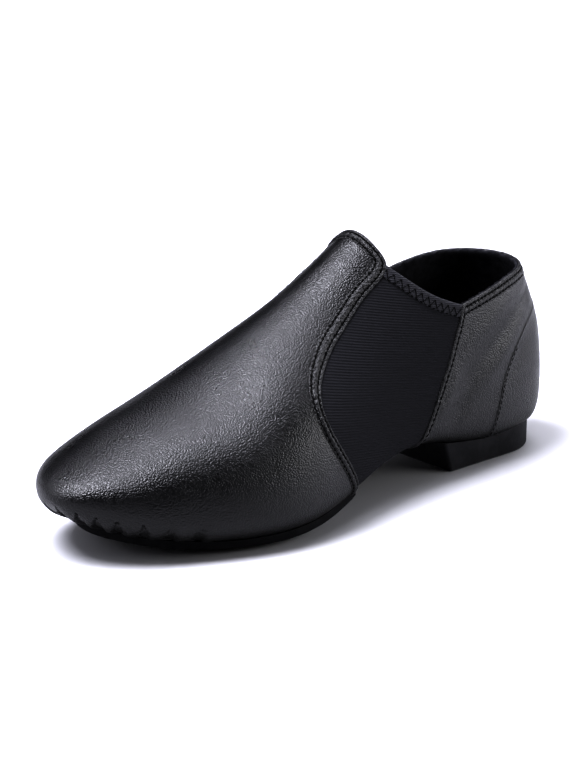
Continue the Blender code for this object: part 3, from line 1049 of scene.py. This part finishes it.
def part_of(path: np.ndarray, start: float, end: float) -> np.ndarray:
    """Returns the stretch of evenly spaced places between two shares of their length."""
    return path[int(start * (len(path) - 1)) : int(end * (len(path) - 1)) + 1]


DRAWN_FROM = 0.62  # where along the last a plan outline starts to draw in towards the toe


def plan_rails(last: Last, inset: float, back: float, rows: int, drawn_in: float = 0.0) -> list[np.ndarray]:
    """Draws the plan outline inside the last's own, as an outer and an inner rail from back to toe.

    Args:
        last: The last.
        inset: How far inside.
        back: Station share of the back end, 0 for the whole length.
        rows: Places along each rail.
        drawn_in: How much further back the toe end lies.

    Returns:
        The outer and the inner rail, columns x and y.
    """
    share = np.linspace(0, 1, rows)
    start = float(last.t_at(back * LENGTH))
    t = start + (1 - start) * np.sin(TOP * share) if back else 0.5 - 0.5 * np.cos(math.pi * share)
    late = np.clip((t - DRAWN_FROM) / (1 - DRAWN_FROM), 0, 1)
    step = 1e-3
    rails = []
    for sign in (1, -1):
        before, here, after = (
            np.stack([last.middle(u) + sign * last.half(u), LENGTH / 2 - last.station(u)], -1)
            for u in (t - step, t, t + step)
        )
        along = after - before
        along /= np.linalg.norm(along, axis=1)[:, None]
        rail = here + sign * inset * np.stack([along[:, 1], -along[:, 0]], -1)
        rail[:, 1] += drawn_in * late**2 * (3 - 2 * late)
        rails.append(rail)
    return rails


def ladder(rails: Sequence[np.ndarray], columns: int, bulge: float = 0.0) -> np.ndarray:
    """Fills the plan between two rails with rows of points, close together at the rails.

    Args:
        rails: Outer and inner rail.
        columns: Points in a row.
        bulge: How far the back end is rounded out, shared by the first ten rows.

    Returns:
        Grid of x and y.
    """
    outer, inner = rails
    share = (1 - np.cos(np.linspace(0, math.pi, columns))) / 2
    plan = inner[:, None] + (outer - inner)[:, None] * share[None, :, None]
    fade = np.clip(1 - np.arange(len(outer)) / 10, 0, 1) ** 1.5
    plan[..., 1] += bulge * fade[:, None] * np.sin(math.pi * share)[None, :]
    return plan


def border_distance(plan: np.ndarray) -> np.ndarray:
    """Returns each grid point's distance to the grid's own border."""
    rim = np.concatenate([plan[0], plan[:, -1], plan[-1][::-1], plan[::-1, 0]])
    fine = np.concatenate([rim[:-1] + (rim[1:] - rim[:-1]) * k / 4 for k in range(4)])
    return np.stack([np.linalg.norm(row[:, None] - fine[None], axis=-1).min(1) for row in plan])


@dataclass
class Upper:
    """The leather: vamp, quarters, shank and counter."""

    last: Last
    thickness: float = 0.90 * MM
    edge_radius: float = 0.5 * MM
    counter_proud: float = 0.28 * MM
    pleat_depth: float = 2.1 * MM
    pleat_width: float = 3.2 * MM
    pleat_reach: float = 8.5 * MM
    pleat_inset: float = 0.0030
    pleat_drawn_in: float = 0.0035
    pleat_top: float = 0.036
    puff: float = 0.30
    puff_place: float = 0.0030
    puff_width: float = 2.0 * MM
    pleats_outer: Sequence[float] = (0.0015, 0.0085, 0.0150, 0.0225, 0.0320, 0.0420, 0.0530)
    pleats_inner: Sequence[float] = (0.0060, 0.0130, 0.0215, 0.0310, 0.0410)
    shank_from: float = 0.058
    shank_to: float = 0.138
    shank_overlap: float = 0.0006

    def pleat_relief(self, base: np.ndarray) -> np.ndarray:
        """Returns how far the pleats gathered at the toe pull the leather in.

        Args:
            base: Points of the surface.

        Returns:
            Heights, negative in a pleat.
        """
        relief = np.zeros(base.shape[:-1])
        flat = base.reshape(-1, 3)
        toe = (flat[:, 2] < self.pleat_top) & (flat[:, 1] < 0.0)
        rails = plan_rails(self.last, self.pleat_inset, 0.55, 240, self.pleat_drawn_in)
        for rail, places, sign in zip(rails, (self.pleats_outer, self.pleats_inner), (1, -1)):
            rail = rail[::-1]
            path = run_along(rail)
            low = self.last.below(rail[:, 0], rail[:, 1], 0.0)[:, 2]
            near = np.flatnonzero(toe & (sign * (flat[:, 0] - rail[0, 0]) > -0.002))
            gap = np.linalg.norm(flat[near, None, :2] - rail[None], axis=-1)
            pick = gap.argmin(1)
            over = np.maximum(flat[near, 2] - low[pick], 0)
            left = np.clip(1 - np.hypot(gap.min(1), over) / self.pleat_reach, 0, 1)
            width = np.maximum(self.pleat_width * left, 1e-6)
            away = [path[pick] - place for place in places]
            dip = sum(np.clip(1 - np.abs(a) / width, 0, 1) ** 0.8 for a in away) * left**0.4
            puff = sum(np.exp(-(((a - self.puff_place) / self.puff_width) ** 2)) for a in away) * left
            relief.reshape(-1)[near] += (self.puff * puff - dip) * self.pleat_depth
        return relief

    def round_off(self, distance: np.ndarray) -> np.ndarray:
        """Returns the height of a leather panel by the distance in from its edge."""
        return rolled(distance, self.edge_radius, 0.0, -0.5 * MM)

    def build(self) -> None:
        """Builds and dresses the leather pieces."""
        last = self.last
        edge = crowded(loop(last, [smooth(VAMP_EDGE)], [420]), 410, -0.75, 0.55, 3.5)
        panel = Panel(True, 108, -self.thickness)
        vamp = panel.build(last, "vamp_leather", edge, self.round_off, self.pleat_relief)
        clad(vamp, VAMP_LEATHER, "upper", "upper")
        edge = loop(last, [smooth(QUARTER_TOP), smooth(QUARTER_EDGE)], [70, 80])
        quarter = Panel(False, 70, -self.thickness).build(last, "quarter_leather", edge, self.round_off)
        clad(quarter, VAMP_LEATHER, "upper", "upper")
        edge = loop(last, [smooth(COUNTER_SEAM)], [120])
        counter = Panel(False, 46, -0.05 * MM).build(
            last, "counter_leather", edge, lambda d: rolled(d, 0.6 * MM, self.counter_proud, 0.08 * MM)
        )
        clad(counter, VAMP_LEATHER, "counter", "counter")
        along = LENGTH / 2 - np.linspace(self.shank_from, self.shank_to, 60)
        across = last.swing + np.linspace(-1, 1, 30) * (SHANK_HALF_WIDTH + self.shank_overlap)
        y, x = np.meshgrid(along, across, indexing="ij")
        faces = [last.below(x, y, out) for out in (-0.12 * MM, -self.thickness)]
        clad(sheet("shank_leather", *faces), VAMP_LEATHER, "upper", "upper")


@dataclass
class Lining:
    """The lining from the collar down and along the foot, and the footbed on it."""

    last: Last
    outside: float = -0.95 * MM
    toe_room: float = 1.7 * MM
    footbed_inset: float = 0.0048 + WALL
    footbed_thickness: float = 1.8 * MM
    heel_rows: int = 16
    toe_rows: int = 56
    columns: int = 84

    def lining(self) -> bpy.types.Object:
        """Builds the lining, open at the collar between the quarters' and the hems' tops."""
        last = self.last
        throat = smooth(VAMP_EDGE)[: THROAT_END + 1][::-1]
        lines = ((smooth(QUARTER_TOP), 56), (smooth(HEM_TOP), 36), (throat, 34))
        opening = np.concatenate([last.trace(line, Side.OUTER, rows) for line, rows in lines])
        start, end = opening[0, 0], opening[-1, 0]
        heel = start * np.linspace(0.02, 0.98, self.heel_rows)
        toe = end + (0.996 - end) * np.linspace(0.01, 1, self.toe_rows)
        t = np.concatenate([heel, opening[:, 0], toe])
        rise = np.concatenate([np.full(self.heel_rows, TOP), opening[:, 1], np.full(self.toe_rows, TOP)])
        share = np.linspace(0, 1, self.columns)
        angle = rise[:, None] + (-math.pi - 2 * rise)[:, None] * share[None]
        grid_t = np.broadcast_to(t[:, None], angle.shape)
        base = last.point(grid_t, angle)
        near_toe = np.clip((-base[..., 1] - 0.040) / 0.030, 0, 1)
        sunk = self.toe_room * near_toe * np.clip((0.036 - base[..., 2]) / 0.010, 0, 1)
        layers = [last.skin(grid_t, angle, self.outside - sunk), last.skin(grid_t, angle, -WALL - 0.7 * sunk)]
        return sheet("lining", *layers)

    def footbed(self) -> bpy.types.Object:
        """Builds the footbed, thinned towards its border."""
        plan = ladder(plan_rails(self.last, self.footbed_inset, 0.0, 90), 44)
        under = -(WALL + CLEARANCE)
        bottom = self.last.below(plan[..., 0], plan[..., 1], under)
        top = self.last.below(plan[..., 0], plan[..., 1], under - self.footbed_thickness)
        rim = 1 - np.clip(border_distance(plan) / (1.5 * MM), 0, 1)
        top[..., 2] -= self.footbed_thickness * 0.5 * rim**2
        return sheet("footbed", top, bottom)

    def build(self) -> None:
        """Builds and dresses the lining and the footbed."""
        clad(self.lining(), LINING_NAP, "insole", "upper")
        clad(self.footbed(), LINING_NAP, "insole", "insole")


@dataclass
class Gores:
    """The elastic panels with their zigzag hems."""

    last: Last
    sewing: Sewing
    outside: float = -0.15 * MM
    inside: float = -0.92 * MM
    tuck: float = 0.8 * MM
    rows: int = 90
    columns: int = 72
    hem: Profile = scaled(
        (-5.0, -0.3), (-5.0, 0.05), (-4.85, 0.24), (-4.6, 0.34), (-4.3, 0.38), (-3.9, 0.38), (-3.0, 0.30),
        (-2.2, 0.26), (-1.4, 0.36), (-0.7, 0.40), (-0.1, 0.30), (0.3, 0.0), (0.48, -0.5), (0.48, -1.4),
        (0.25, -1.9), (-0.5, -2.1), (-3.6, -2.1), (-3.6, -1.5), (-3.6, -0.7),
    )

    def scallops(self, along: np.ndarray, across: float) -> np.ndarray:
        """Returns how the zigzag's points pull the hem in, by the places along and beside the hem's line."""
        tip = np.abs(np.cos(math.pi * along / (2 * self.sewing.zigzag_pitch))) ** 4
        return -0.32 * MM * math.exp(-(((across / MM + 4.6) / 0.5) ** 2)) * tip

    def side_edge(self, line: np.ndarray, side: Side) -> np.ndarray:
        """Traces an upright edge of a panel as far as the shank, and returns its columns t and angle."""
        path = self.last.trace(line, side, 400)
        away = np.abs(self.last.point(*path.T)[:, 0] - self.last.swing)
        keep = (np.sin(path[:, 1]) > -0.5) | (away > SHANK_HALF_WIDTH - self.tuck)
        stop = len(path) if keep.all() else int(np.argmin(keep))
        return resampled(path, np.arange(len(path)), np.linspace(0, stop - 1, self.rows))

    def panel(self, side: Side) -> bpy.types.Object:
        """Builds one elastic panel between the quarter, the vamp and the shank."""
        last = self.last
        rear = self.side_edge(beside(smooth(QUARTER_EDGE), -self.tuck), side)
        front = self.side_edge(beside(smooth(VAMP_EDGE)[THROAT_END:], self.tuck), side)
        top = last.trace(beside(smooth(HEM_TOP), -0.3 * MM), side, self.columns)
        share = np.linspace(0, 1, self.columns)[:, None]
        top = top + (1 - share) * (rear[0] - top[0]) + share * (front[0] - top[-1])
        t = np.linspace(rear[-1, 0], front[-1, 0], self.columns)
        x = last.swing + side.value * (SHANK_HALF_WIDTH - self.tuck)
        rise = halved(np.full_like(t, UNDER), np.zeros_like(t),
                      lambda r: side.value * (last.point(t, side.turn(r))[:, 0] - x) < 0)
        bottom = np.stack([t, side.turn(rise)], -1)
        bottom[0], bottom[-1] = rear[-1], front[-1]
        u, v = share[None], np.linspace(0, 1, self.rows)[:, None, None]
        corners = (1 - v) * ((1 - u) * rear[0] + u * front[0]) + v * ((1 - u) * rear[-1] + u * front[-1])
        chart = (1 - v) * top[None] + v * bottom[None] + (1 - u) * rear[:, None] + u * front[:, None] - corners
        faces = [last.skin(chart[..., 0], chart[..., 1], out) for out in (self.outside, self.inside)]
        return sheet(f"elastic_{side.word}", *faces)

    def build(self) -> None:
        """Builds and dresses both panels, their hems and the hems' threads."""
        line = smooth(HEM_TOP)
        for side in Side:
            node = f"gore_{side.word}"
            clad(self.panel(side), ELASTIC, node, node)
            hem = strip(self.last, line, self.hem, 260, side, self.scallops)
            clad(loft(f"hem_{side.word}", hem), HEM_ELASTIC, node)
            for name, across, out, zigzag in (("zigzag", -2.9, 0.36, True), ("hem_row", -4.75, 0.16, False)):
                places = part_of(self.last.trace(beside(line, across * MM), side, 200), 0.02, 0.98)
                clad(self.sewing.row(f"{name}_{side.word}", places, out, zigzag), BLACK_THREAD, node)


@dataclass
class Edges:
    """The folded and stitched edges: the vamp's band, the collar and the quarters' fronts."""

    last: Last
    sewing: Sewing
    pucker: float = 0.08 * MM
    pinch: float = 0.36 * MM
    nap: float = 0.26 * MM
    band: Profile = scaled(
        (-0.1, -0.45), (-0.25, 0.0), (-0.2, 0.30), (0.0, 0.56), (0.3, 0.70), (0.6, 0.64), (0.82, 0.40),
        (1.0, 0.20), (1.18, 0.40), (1.45, 0.74), (1.8, 0.94), (2.2, 1.00), (2.6, 0.94), (2.95, 0.74),
        (3.22, 0.40), (3.4, 0.20), (3.58, 0.36), (3.8, 0.44), (4.0, 0.34), (4.2, 0.08), (4.25, -0.2),
        (3.9, -0.45), (2.0, -0.45),
    )
    band_rows: tuple[float, ...] = (1.0, 3.4)
    throat: Profile = scaled(
        (0.7, 0.50), (0.3, 0.66), (-0.1, 0.60), (-0.45, 0.30), (-0.65, -0.2), (-0.70, -0.9), (-0.62, -1.5),
        (-0.3, -1.95), (0.3, -2.15), (2.8, -2.15), (2.8, -1.7), (0.8, -1.2), (0.7, -0.4),
    )
    collar: Profile = scaled(
        (-4.5, -0.25), (-4.5, 0.10), (-4.25, 0.30), (-3.95, 0.32), (-3.8, 0.18), (-3.7, 0.08), (-3.6, 0.18),
        (-3.3, 0.40), (-2.9, 0.50), (-2.4, 0.54), (-1.9, 0.48), (-1.55, 0.34), (-1.37, 0.16), (-1.25, 0.06),
        (-1.13, 0.16), (-0.9, 0.36), (-0.5, 0.48), (-0.1, 0.42), (0.2, 0.20), (0.38, -0.15), (0.40, -0.55),
        (0.25, -0.9), (-0.3, -1.05), (-2.5, -1.0), (-4.0, -0.5),
    )
    collar_rows: tuple[float, ...] = (-1.25, -3.7)
    lip: Profile = scaled(
        (-0.4, -0.80), (0.15, -0.82), (0.38, -1.00), (0.46, -1.25), (0.40, -1.55), (0.2, -1.85), (-0.3, -2.08),
        (-1.2, -2.18), (-3.2, -2.12), (-3.2, -1.7), (-1.5, -1.0),
    )
    front: Profile = scaled(
        (-2.8, -0.25), (-2.8, 0.08), (-2.5, 0.26), (-2.2, 0.30), (-1.92, 0.16), (-1.75, 0.04), (-1.58, 0.16),
        (-1.3, 0.38), (-0.9, 0.52), (-0.3, 0.54), (0.1, 0.40), (0.4, 0.08), (0.42, -0.35), (0.2, -0.6),
        (-1.2, -0.5),
    )
    front_rows: tuple[float, ...] = (-1.75,)

    def gathers(self, rows: Sequence[float]) -> Height:
        """Returns the height that stitch rows pull out of an edge: pinched at each hole, puffed up between.

        Args:
            rows: The rows' distances beside the line, in millimetres.

        Returns:
            The height by the distance along the edge and the distance beside the line.
        """

        def height(along: np.ndarray, across: float) -> np.ndarray:
            """Returns the height at places along one line of the profile."""
            away = min(abs(across / MM - row) for row in rows)
            hole = math.exp(-((away / 0.75) ** 2)) * np.abs(np.cos(math.pi * along / self.sewing.pitch)) ** 3
            run = along / MM
            slow = np.sin(run * 1.9) * 0.6 + np.sin(run * 1.23 + 1.3) * 0.6 + np.sin(run * 0.61) * 0.5
            return self.pucker * slow - self.pinch * hole

        return height

    def fuzz(self, along: np.ndarray, across: float) -> np.ndarray:
        """Returns the uneven height of a raw lining edge."""
        run, phase = along / MM, across / MM * 2.3
        return self.nap * (np.sin(run * 2.9 + phase) + np.sin(run * 4.7 + 2 * phase) + np.sin(run * 1.1)) * 0.6

    def lining_edge(self, line: np.ndarray) -> bpy.types.Object:
        """Builds the raw edge of the lining inside the collar."""
        lip = strip(self.last, line, self.lip, 420)
        run = run_along(lip)
        for k, (_, out) in enumerate(self.lip):
            if out > -1.9 * MM and k:
                lip[:, k, 2] += self.fuzz(run[:, k], out)
        return loft("lining_edge", lip)

    def sew(self, name: str, places: np.ndarray, out: float, slot: str) -> None:
        """Sews a straight row and dresses it."""
        clad(self.sewing.row(name, places, out), BLACK_THREAD, slot)

    def build(self) -> None:
        """Builds and dresses the edges and sews their rows."""
        last = self.last
        outlines = (VAMP_EDGE, QUARTER_TOP, QUARTER_EDGE, COUNTER_SEAM)
        edge, top, front, seam = (smooth(outline) for outline in outlines)
        band = strip(last, edge, self.band, 1000, None, self.gathers(self.band_rows))
        clad(loft("edge_band", band), BAND_LEATHER, "vamp_band", "vamp_band")
        throat = strip(last, edge[: THROAT_END + 6], self.throat, 90)
        clad(loft("throat_fold", throat), BAND_LEATHER, "vamp_band")
        collar = strip(last, top, self.collar, 420, None, self.gathers(self.collar_rows))
        clad(loft("collar_fold", collar), BAND_LEATHER, "upper")
        clad(self.lining_edge(top), LINING_NAP, "insole")
        for name, across in zip(("band_row_outside", "band_row_inside"), self.band_rows):
            self.sew(name, both_sides(last, beside(edge, across * MM), 500), 0.34, "vamp_band")
        for name, across in zip(("collar_row_upper", "collar_row_lower"), self.collar_rows):
            self.sew(name, both_sides(last, beside(top, across * MM), 300), 0.20, "upper")
        for side in Side:
            fold = strip(last, front, self.front, 320, side, self.gathers(self.front_rows))
            clad(loft(f"front_fold_{side.word}", fold), BAND_LEATHER, "upper")
            row = last.trace(beside(front, self.front_rows[0] * MM), side, 300)
            self.sew(f"front_row_{side.word}", part_of(row, 0.02, 0.9), 0.18, "upper")
            row = last.trace(beside(seam, -0.9 * MM), side, 300)
            self.sew(f"counter_row_{side.word}", part_of(row, 0.42, 0.9), 0.26, "counter")


@dataclass
class Sole:
    """The split sole's pad and the heel block."""

    last: Last
    pad_inset: float = 0.0055
    pad_back: float = 0.515
    pad_toe_inset: float = 0.0120
    bulge: float = 0.0090
    edge_radius: float = 0.0009
    thinnest: float = 0.0006
    # Heights of the heel block's bottom rim that gets the painted floor reflection
    reflection_band: tuple[float, float] = (0.00002, 0.0005)
    breast: float = 0.066
    slope_from: float = 0.045
    middle: float = 0.036
    corner: float = 0.0012
    foot: float = 0.0010

    def pad(self) -> bpy.types.Object:
        """Builds the forefoot pad, flat where it meets the floor."""
        rails = plan_rails(self.last, self.pad_inset, self.pad_back, 110, self.pad_toe_inset)
        plan = ladder(rails, 60, self.bulge)
        top = self.last.below(plan[..., 0], plan[..., 1], CLEARANCE)
        bottom = self.last.below(plan[..., 0], plan[..., 1], CLEARANCE + PAD_THICKNESS)
        inset = 1 - np.clip(border_distance(plan) / self.edge_radius, 0, 1)
        rounded = np.maximum(bottom[..., 2], 0.0) + self.edge_radius * (1 - np.sqrt(1 - inset**2))
        bottom[..., 2] = np.minimum(rounded, top[..., 2] - self.thinnest)
        return sheet("sole_pad_suede", top, bottom)

    def heel_outline(self, low: Vector, high: Vector, grown: float) -> np.ndarray:
        """Returns the D of the heel block in plan.

        Args:
            low: The frame's heel box, lowest corner.
            high: Its highest corner.
            grown: How far outside the D.

        Returns:
            Columns x and station, anticlockwise.
        """
        radius, swing = (high.x - low.x) / 2, (high.x + low.x) / 2
        middle, reach, corner = LENGTH / 2 - high.y + radius, radius + grown, self.corner
        turn, bend = np.linspace(-TOP, TOP, 48), np.linspace(0, TOP, 7)
        front = self.breast + grown
        arc = np.stack([swing + reach * np.sin(turn), middle - reach * np.cos(turn)], -1)
        beyond, short = corner * (1 - np.cos(bend)), corner * (1 - np.sin(bend))
        right = np.stack([swing + reach - beyond, front - short], -1)
        left = np.stack([2 * swing - right[::-1, 0], right[::-1, 1]], -1)
        side = np.linspace(middle, front - corner, 24)[1:-1]
        across = np.linspace(swing + reach - corner, swing - reach + corner, 30)[1:-1]
        up = np.stack([np.full_like(side, swing + reach), side], -1)
        down = np.stack([np.full_like(side, swing - reach), side[::-1]], -1)
        breast = np.stack([across, np.full_like(across, front)], -1)
        return np.concatenate([arc, up, right, breast, left, down])

    def lean(self, outline: np.ndarray) -> np.ndarray:
        """Returns how far the breast leans forwards at its top, nothing at the back of the block."""
        share = np.clip((outline[:, 1] - self.slope_from) / (self.breast - self.slope_from), 0, 1)
        return share * BREAST_SLOPE

    def ring(self, outline: np.ndarray, height: np.ndarray | float) -> np.ndarray:
        """Returns the points of the block at a height above the floor."""
        z = np.broadcast_to(height, len(outline))
        station = outline[:, 1] + self.lean(outline) * z / HEEL_HEIGHT
        return np.stack([outline[:, 0], LENGTH / 2 - station, z], -1)

    def seat(self, outline: np.ndarray) -> np.ndarray:
        """Returns the heights at which the block meets the heel seat."""
        return self.last.below(outline[:, 0], LENGTH / 2 - outline[:, 1] - self.lean(outline), CLEARANCE)[:, 2]

    def block(self) -> bpy.types.Object:
        """Builds the heel block: a rounded D whose top takes the shape of the heel seat."""
        low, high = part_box("heel_block")
        centre = np.array([(low.x + high.x) / 2, self.middle])
        full, under = (self.heel_outline(low, high, grown) for grown in (0.0, -0.0006))
        rings = [self.ring(centre + (under - centre) * share, 0.0) for share in (0.0, 0.35, 0.65, 0.85)]
        rounding = ((-0.0006, 0.0), (-0.00025, 0.0001), (-0.00005, 0.0003), (0.0, 0.0006), (0.0, self.foot))
        for grown, z in rounding:
            rings.append(self.ring(self.heel_outline(low, high, grown), z))
        top = self.seat(full)
        for share in (0.25, 0.5, 0.75, 0.93):
            rings.append(self.ring(full, self.foot + (top - self.foot) * share))
        for share in (0.995, 0.9, 0.75, 0.5, 0.25, 0.0):
            inner = centre + (full - centre) * share
            rings.append(self.ring(inner, self.seat(inner)))
        return loft("heel_block_rubber", np.stack(rings))

    def build(self) -> None:
        """Builds and dresses the pad and the block, with a painted floor reflection in lighter grey along the
        block's bottom rim.
        """
        clad(self.pad(), SOLE_SUEDE, "sole_pad", "sole_pad")
        block = clad(self.block(), HEEL_RUBBER, "heel_block", "heel_block")
        block.data.materials.append(FLOOR_REFLECTION_RIM.material())
        # Faces of the bottom rim take the lighter grey: a painted reflection of the floor.
        for face in block.data.polygons:
            if self.reflection_band[0] < face.center.z < self.reflection_band[1] and abs(face.normal.z) < 0.95:
                face.material_index = 1


class Lamp(NamedTuple):
    """A broad distant lamp: its strength, its width in degrees and the way its light travels."""

    name: str
    energy: float
    width: float
    aim: tuple[float, float, float]


LAMPS = (
    Lamp("key", 7.4, 26, (0.17, 0.36, -0.92)),
    Lamp("overhead", 1.8, 40, (0.0, 0.0, -1.0)),
    Lamp("far_side", 3.0, 44, (0.30, -0.50, -0.80)),
    Lamp("front", 2.4, 50, (0.55, 0.70, -0.50)),
    Lamp("behind", 1.8, 40, (-0.35, -0.9, -0.3)),
)


@dataclass
class Studio:
    """The pale floor, the soft light and the camera at the photograph's angle."""

    azimuth: float = 48.0
    elevation: float = 18.0
    distance: float = 1.081
    target: tuple[float, float, float] = (-0.0125, 0.0, 0.0427)
    focal_pixels: float = 2670.0
    long_side: float = 768.0
    tint: Colour = (0.92, 0.92, 1.0)
    floor_size: float = 12.0
    box_place: tuple[float, float, float] = (1.1, 0.9, 0.55)
    box_aim: tuple[float, float, float] = (0.0, 0.08, 0.04)
    box_size: tuple[float, float] = (0.9, 0.7)
    box_power: float = 15.0
    world: float = 0.03
    gamma: float = 0.64

    def floor(self) -> None:
        """Lays the floor."""
        mesh = bpy.data.meshes.new("studio_floor")
        signs = ((-1, -1), (1, -1), (1, 1), (-1, 1))
        corners = [(x * self.floor_size, y * self.floor_size, 0) for x, y in signs]
        mesh.from_pydata(corners, [], [(0, 1, 2, 3)])
        surface = Surface("floor_white", 0.9, 0.1)
        surface.tint(surface.noise(40.0, 2.0), (0.43, 0.43, 0.44), (0.45, 0.45, 0.46))
        mesh.materials.append(surface.material)
        floor = placed("studio_floor", mesh)

    def lamps(self) -> None:
        """Hangs the distant lamps and the softbox at the side of the heel."""
        for lamp in LAMPS:
            sun = bpy.data.lights.new(lamp.name, "SUN")
            sun.energy, sun.angle, sun.color = lamp.energy, math.radians(lamp.width), self.tint
            placed(lamp.name, sun).rotation_euler = Vector(lamp.aim).to_track_quat("-Z", "Y").to_euler()
        data = bpy.data.lights.new("heel_side", "AREA")
        data.shape, data.energy = "RECTANGLE", self.box_power
        data.size, data.size_y = self.box_size
        box = placed("heel_side", data)
        box.location = self.box_place
        aim = Vector(self.box_aim) - Vector(self.box_place)
        box.rotation_euler = aim.to_track_quat("-Z", "Y").to_euler()

    def camera(self) -> None:
        """Sets up the camera."""
        data = bpy.data.cameras.new("camera")
        data.sensor_width = 36.0
        data.lens = self.focal_pixels / self.long_side * data.sensor_width
        data.clip_start, data.clip_end = 0.05, 50.0
        camera = placed("camera", data)
        a, e = math.radians(self.azimuth), math.radians(self.elevation)
        away = Vector((math.sin(a) * math.cos(e), -math.cos(a) * math.cos(e), math.sin(e)))
        camera.location = Vector(self.target) + away * self.distance
        camera.rotation_euler = (-away).to_track_quat("-Z", "Y").to_euler()
        bpy.context.scene.camera = camera

    def build(self) -> None:
        """Sets up the floor, the lamps, the world and the camera."""
        self.floor()
        self.lamps()
        scene = bpy.context.scene
        scene.world = bpy.data.worlds.new("studio")
        scene.world.use_nodes = True
        inputs = scene.world.node_tree.nodes["Background"].inputs
        inputs["Color"].default_value, inputs["Strength"].default_value = (1, 1, 1, 1), self.world
        scene.view_settings.view_transform = "Standard"
        scene.view_settings.gamma = self.gamma
        self.camera()


CREASES = (
    Crease((0.085, 0.700), (0.250, 0.430), -0.0009, 0.0042, Side.OUTER),
    Crease((0.120, 0.730), (0.255, 0.560), 0.0006, 0.0038, Side.OUTER),
    Crease((0.110, 0.600), (0.215, 0.380), 0.0006, 0.0038, Side.OUTER),
    Crease((0.060, 0.600), (0.190, 0.300), -0.0007, 0.0045, Side.OUTER),
    Crease((0.275, 0.480), (0.325, 0.260), 0.0009, 0.0036, Side.OUTER),
    Crease((0.240, 0.430), (0.300, 0.200), -0.0008, 0.0038, Side.OUTER),
    Crease((0.060, 0.720), (0.110, 0.655), -0.0003, 0.0011, Side.OUTER),
    Crease((0.052, 0.700), (0.100, 0.630), -0.0003, 0.0010, Side.OUTER),
    Crease((0.048, 0.675), (0.088, 0.605), -0.0003, 0.0011, Side.OUTER),
    Crease((0.075, 0.735), (0.125, 0.690), 0.0003, 0.0012, Side.OUTER),
    Crease((0.085, 0.690), (0.240, 0.420), -0.0008, 0.0045, Side.INNER),
    Crease((0.110, 0.600), (0.215, 0.390), 0.0006, 0.0040, Side.INNER),
    Crease((0.240, 0.470), (0.310, 0.220), -0.0008, 0.0040, Side.INNER),
)


def main() -> None:
    """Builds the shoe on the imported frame, and the studio round it."""
    logging.basicConfig(level=logging.INFO, format="%(name)s: %(message)s")
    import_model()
    low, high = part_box("heel_block")
    last = Last(swing=(low.x + high.x) / 2, creases=CREASES)
    sewing = Sewing(last)
    for group in (Upper(last), Lining(last), Gores(last, sewing), Edges(last, sewing), Sole(last)):
        group.build()
    Studio().build()


if __name__ == "__main__":
    main()
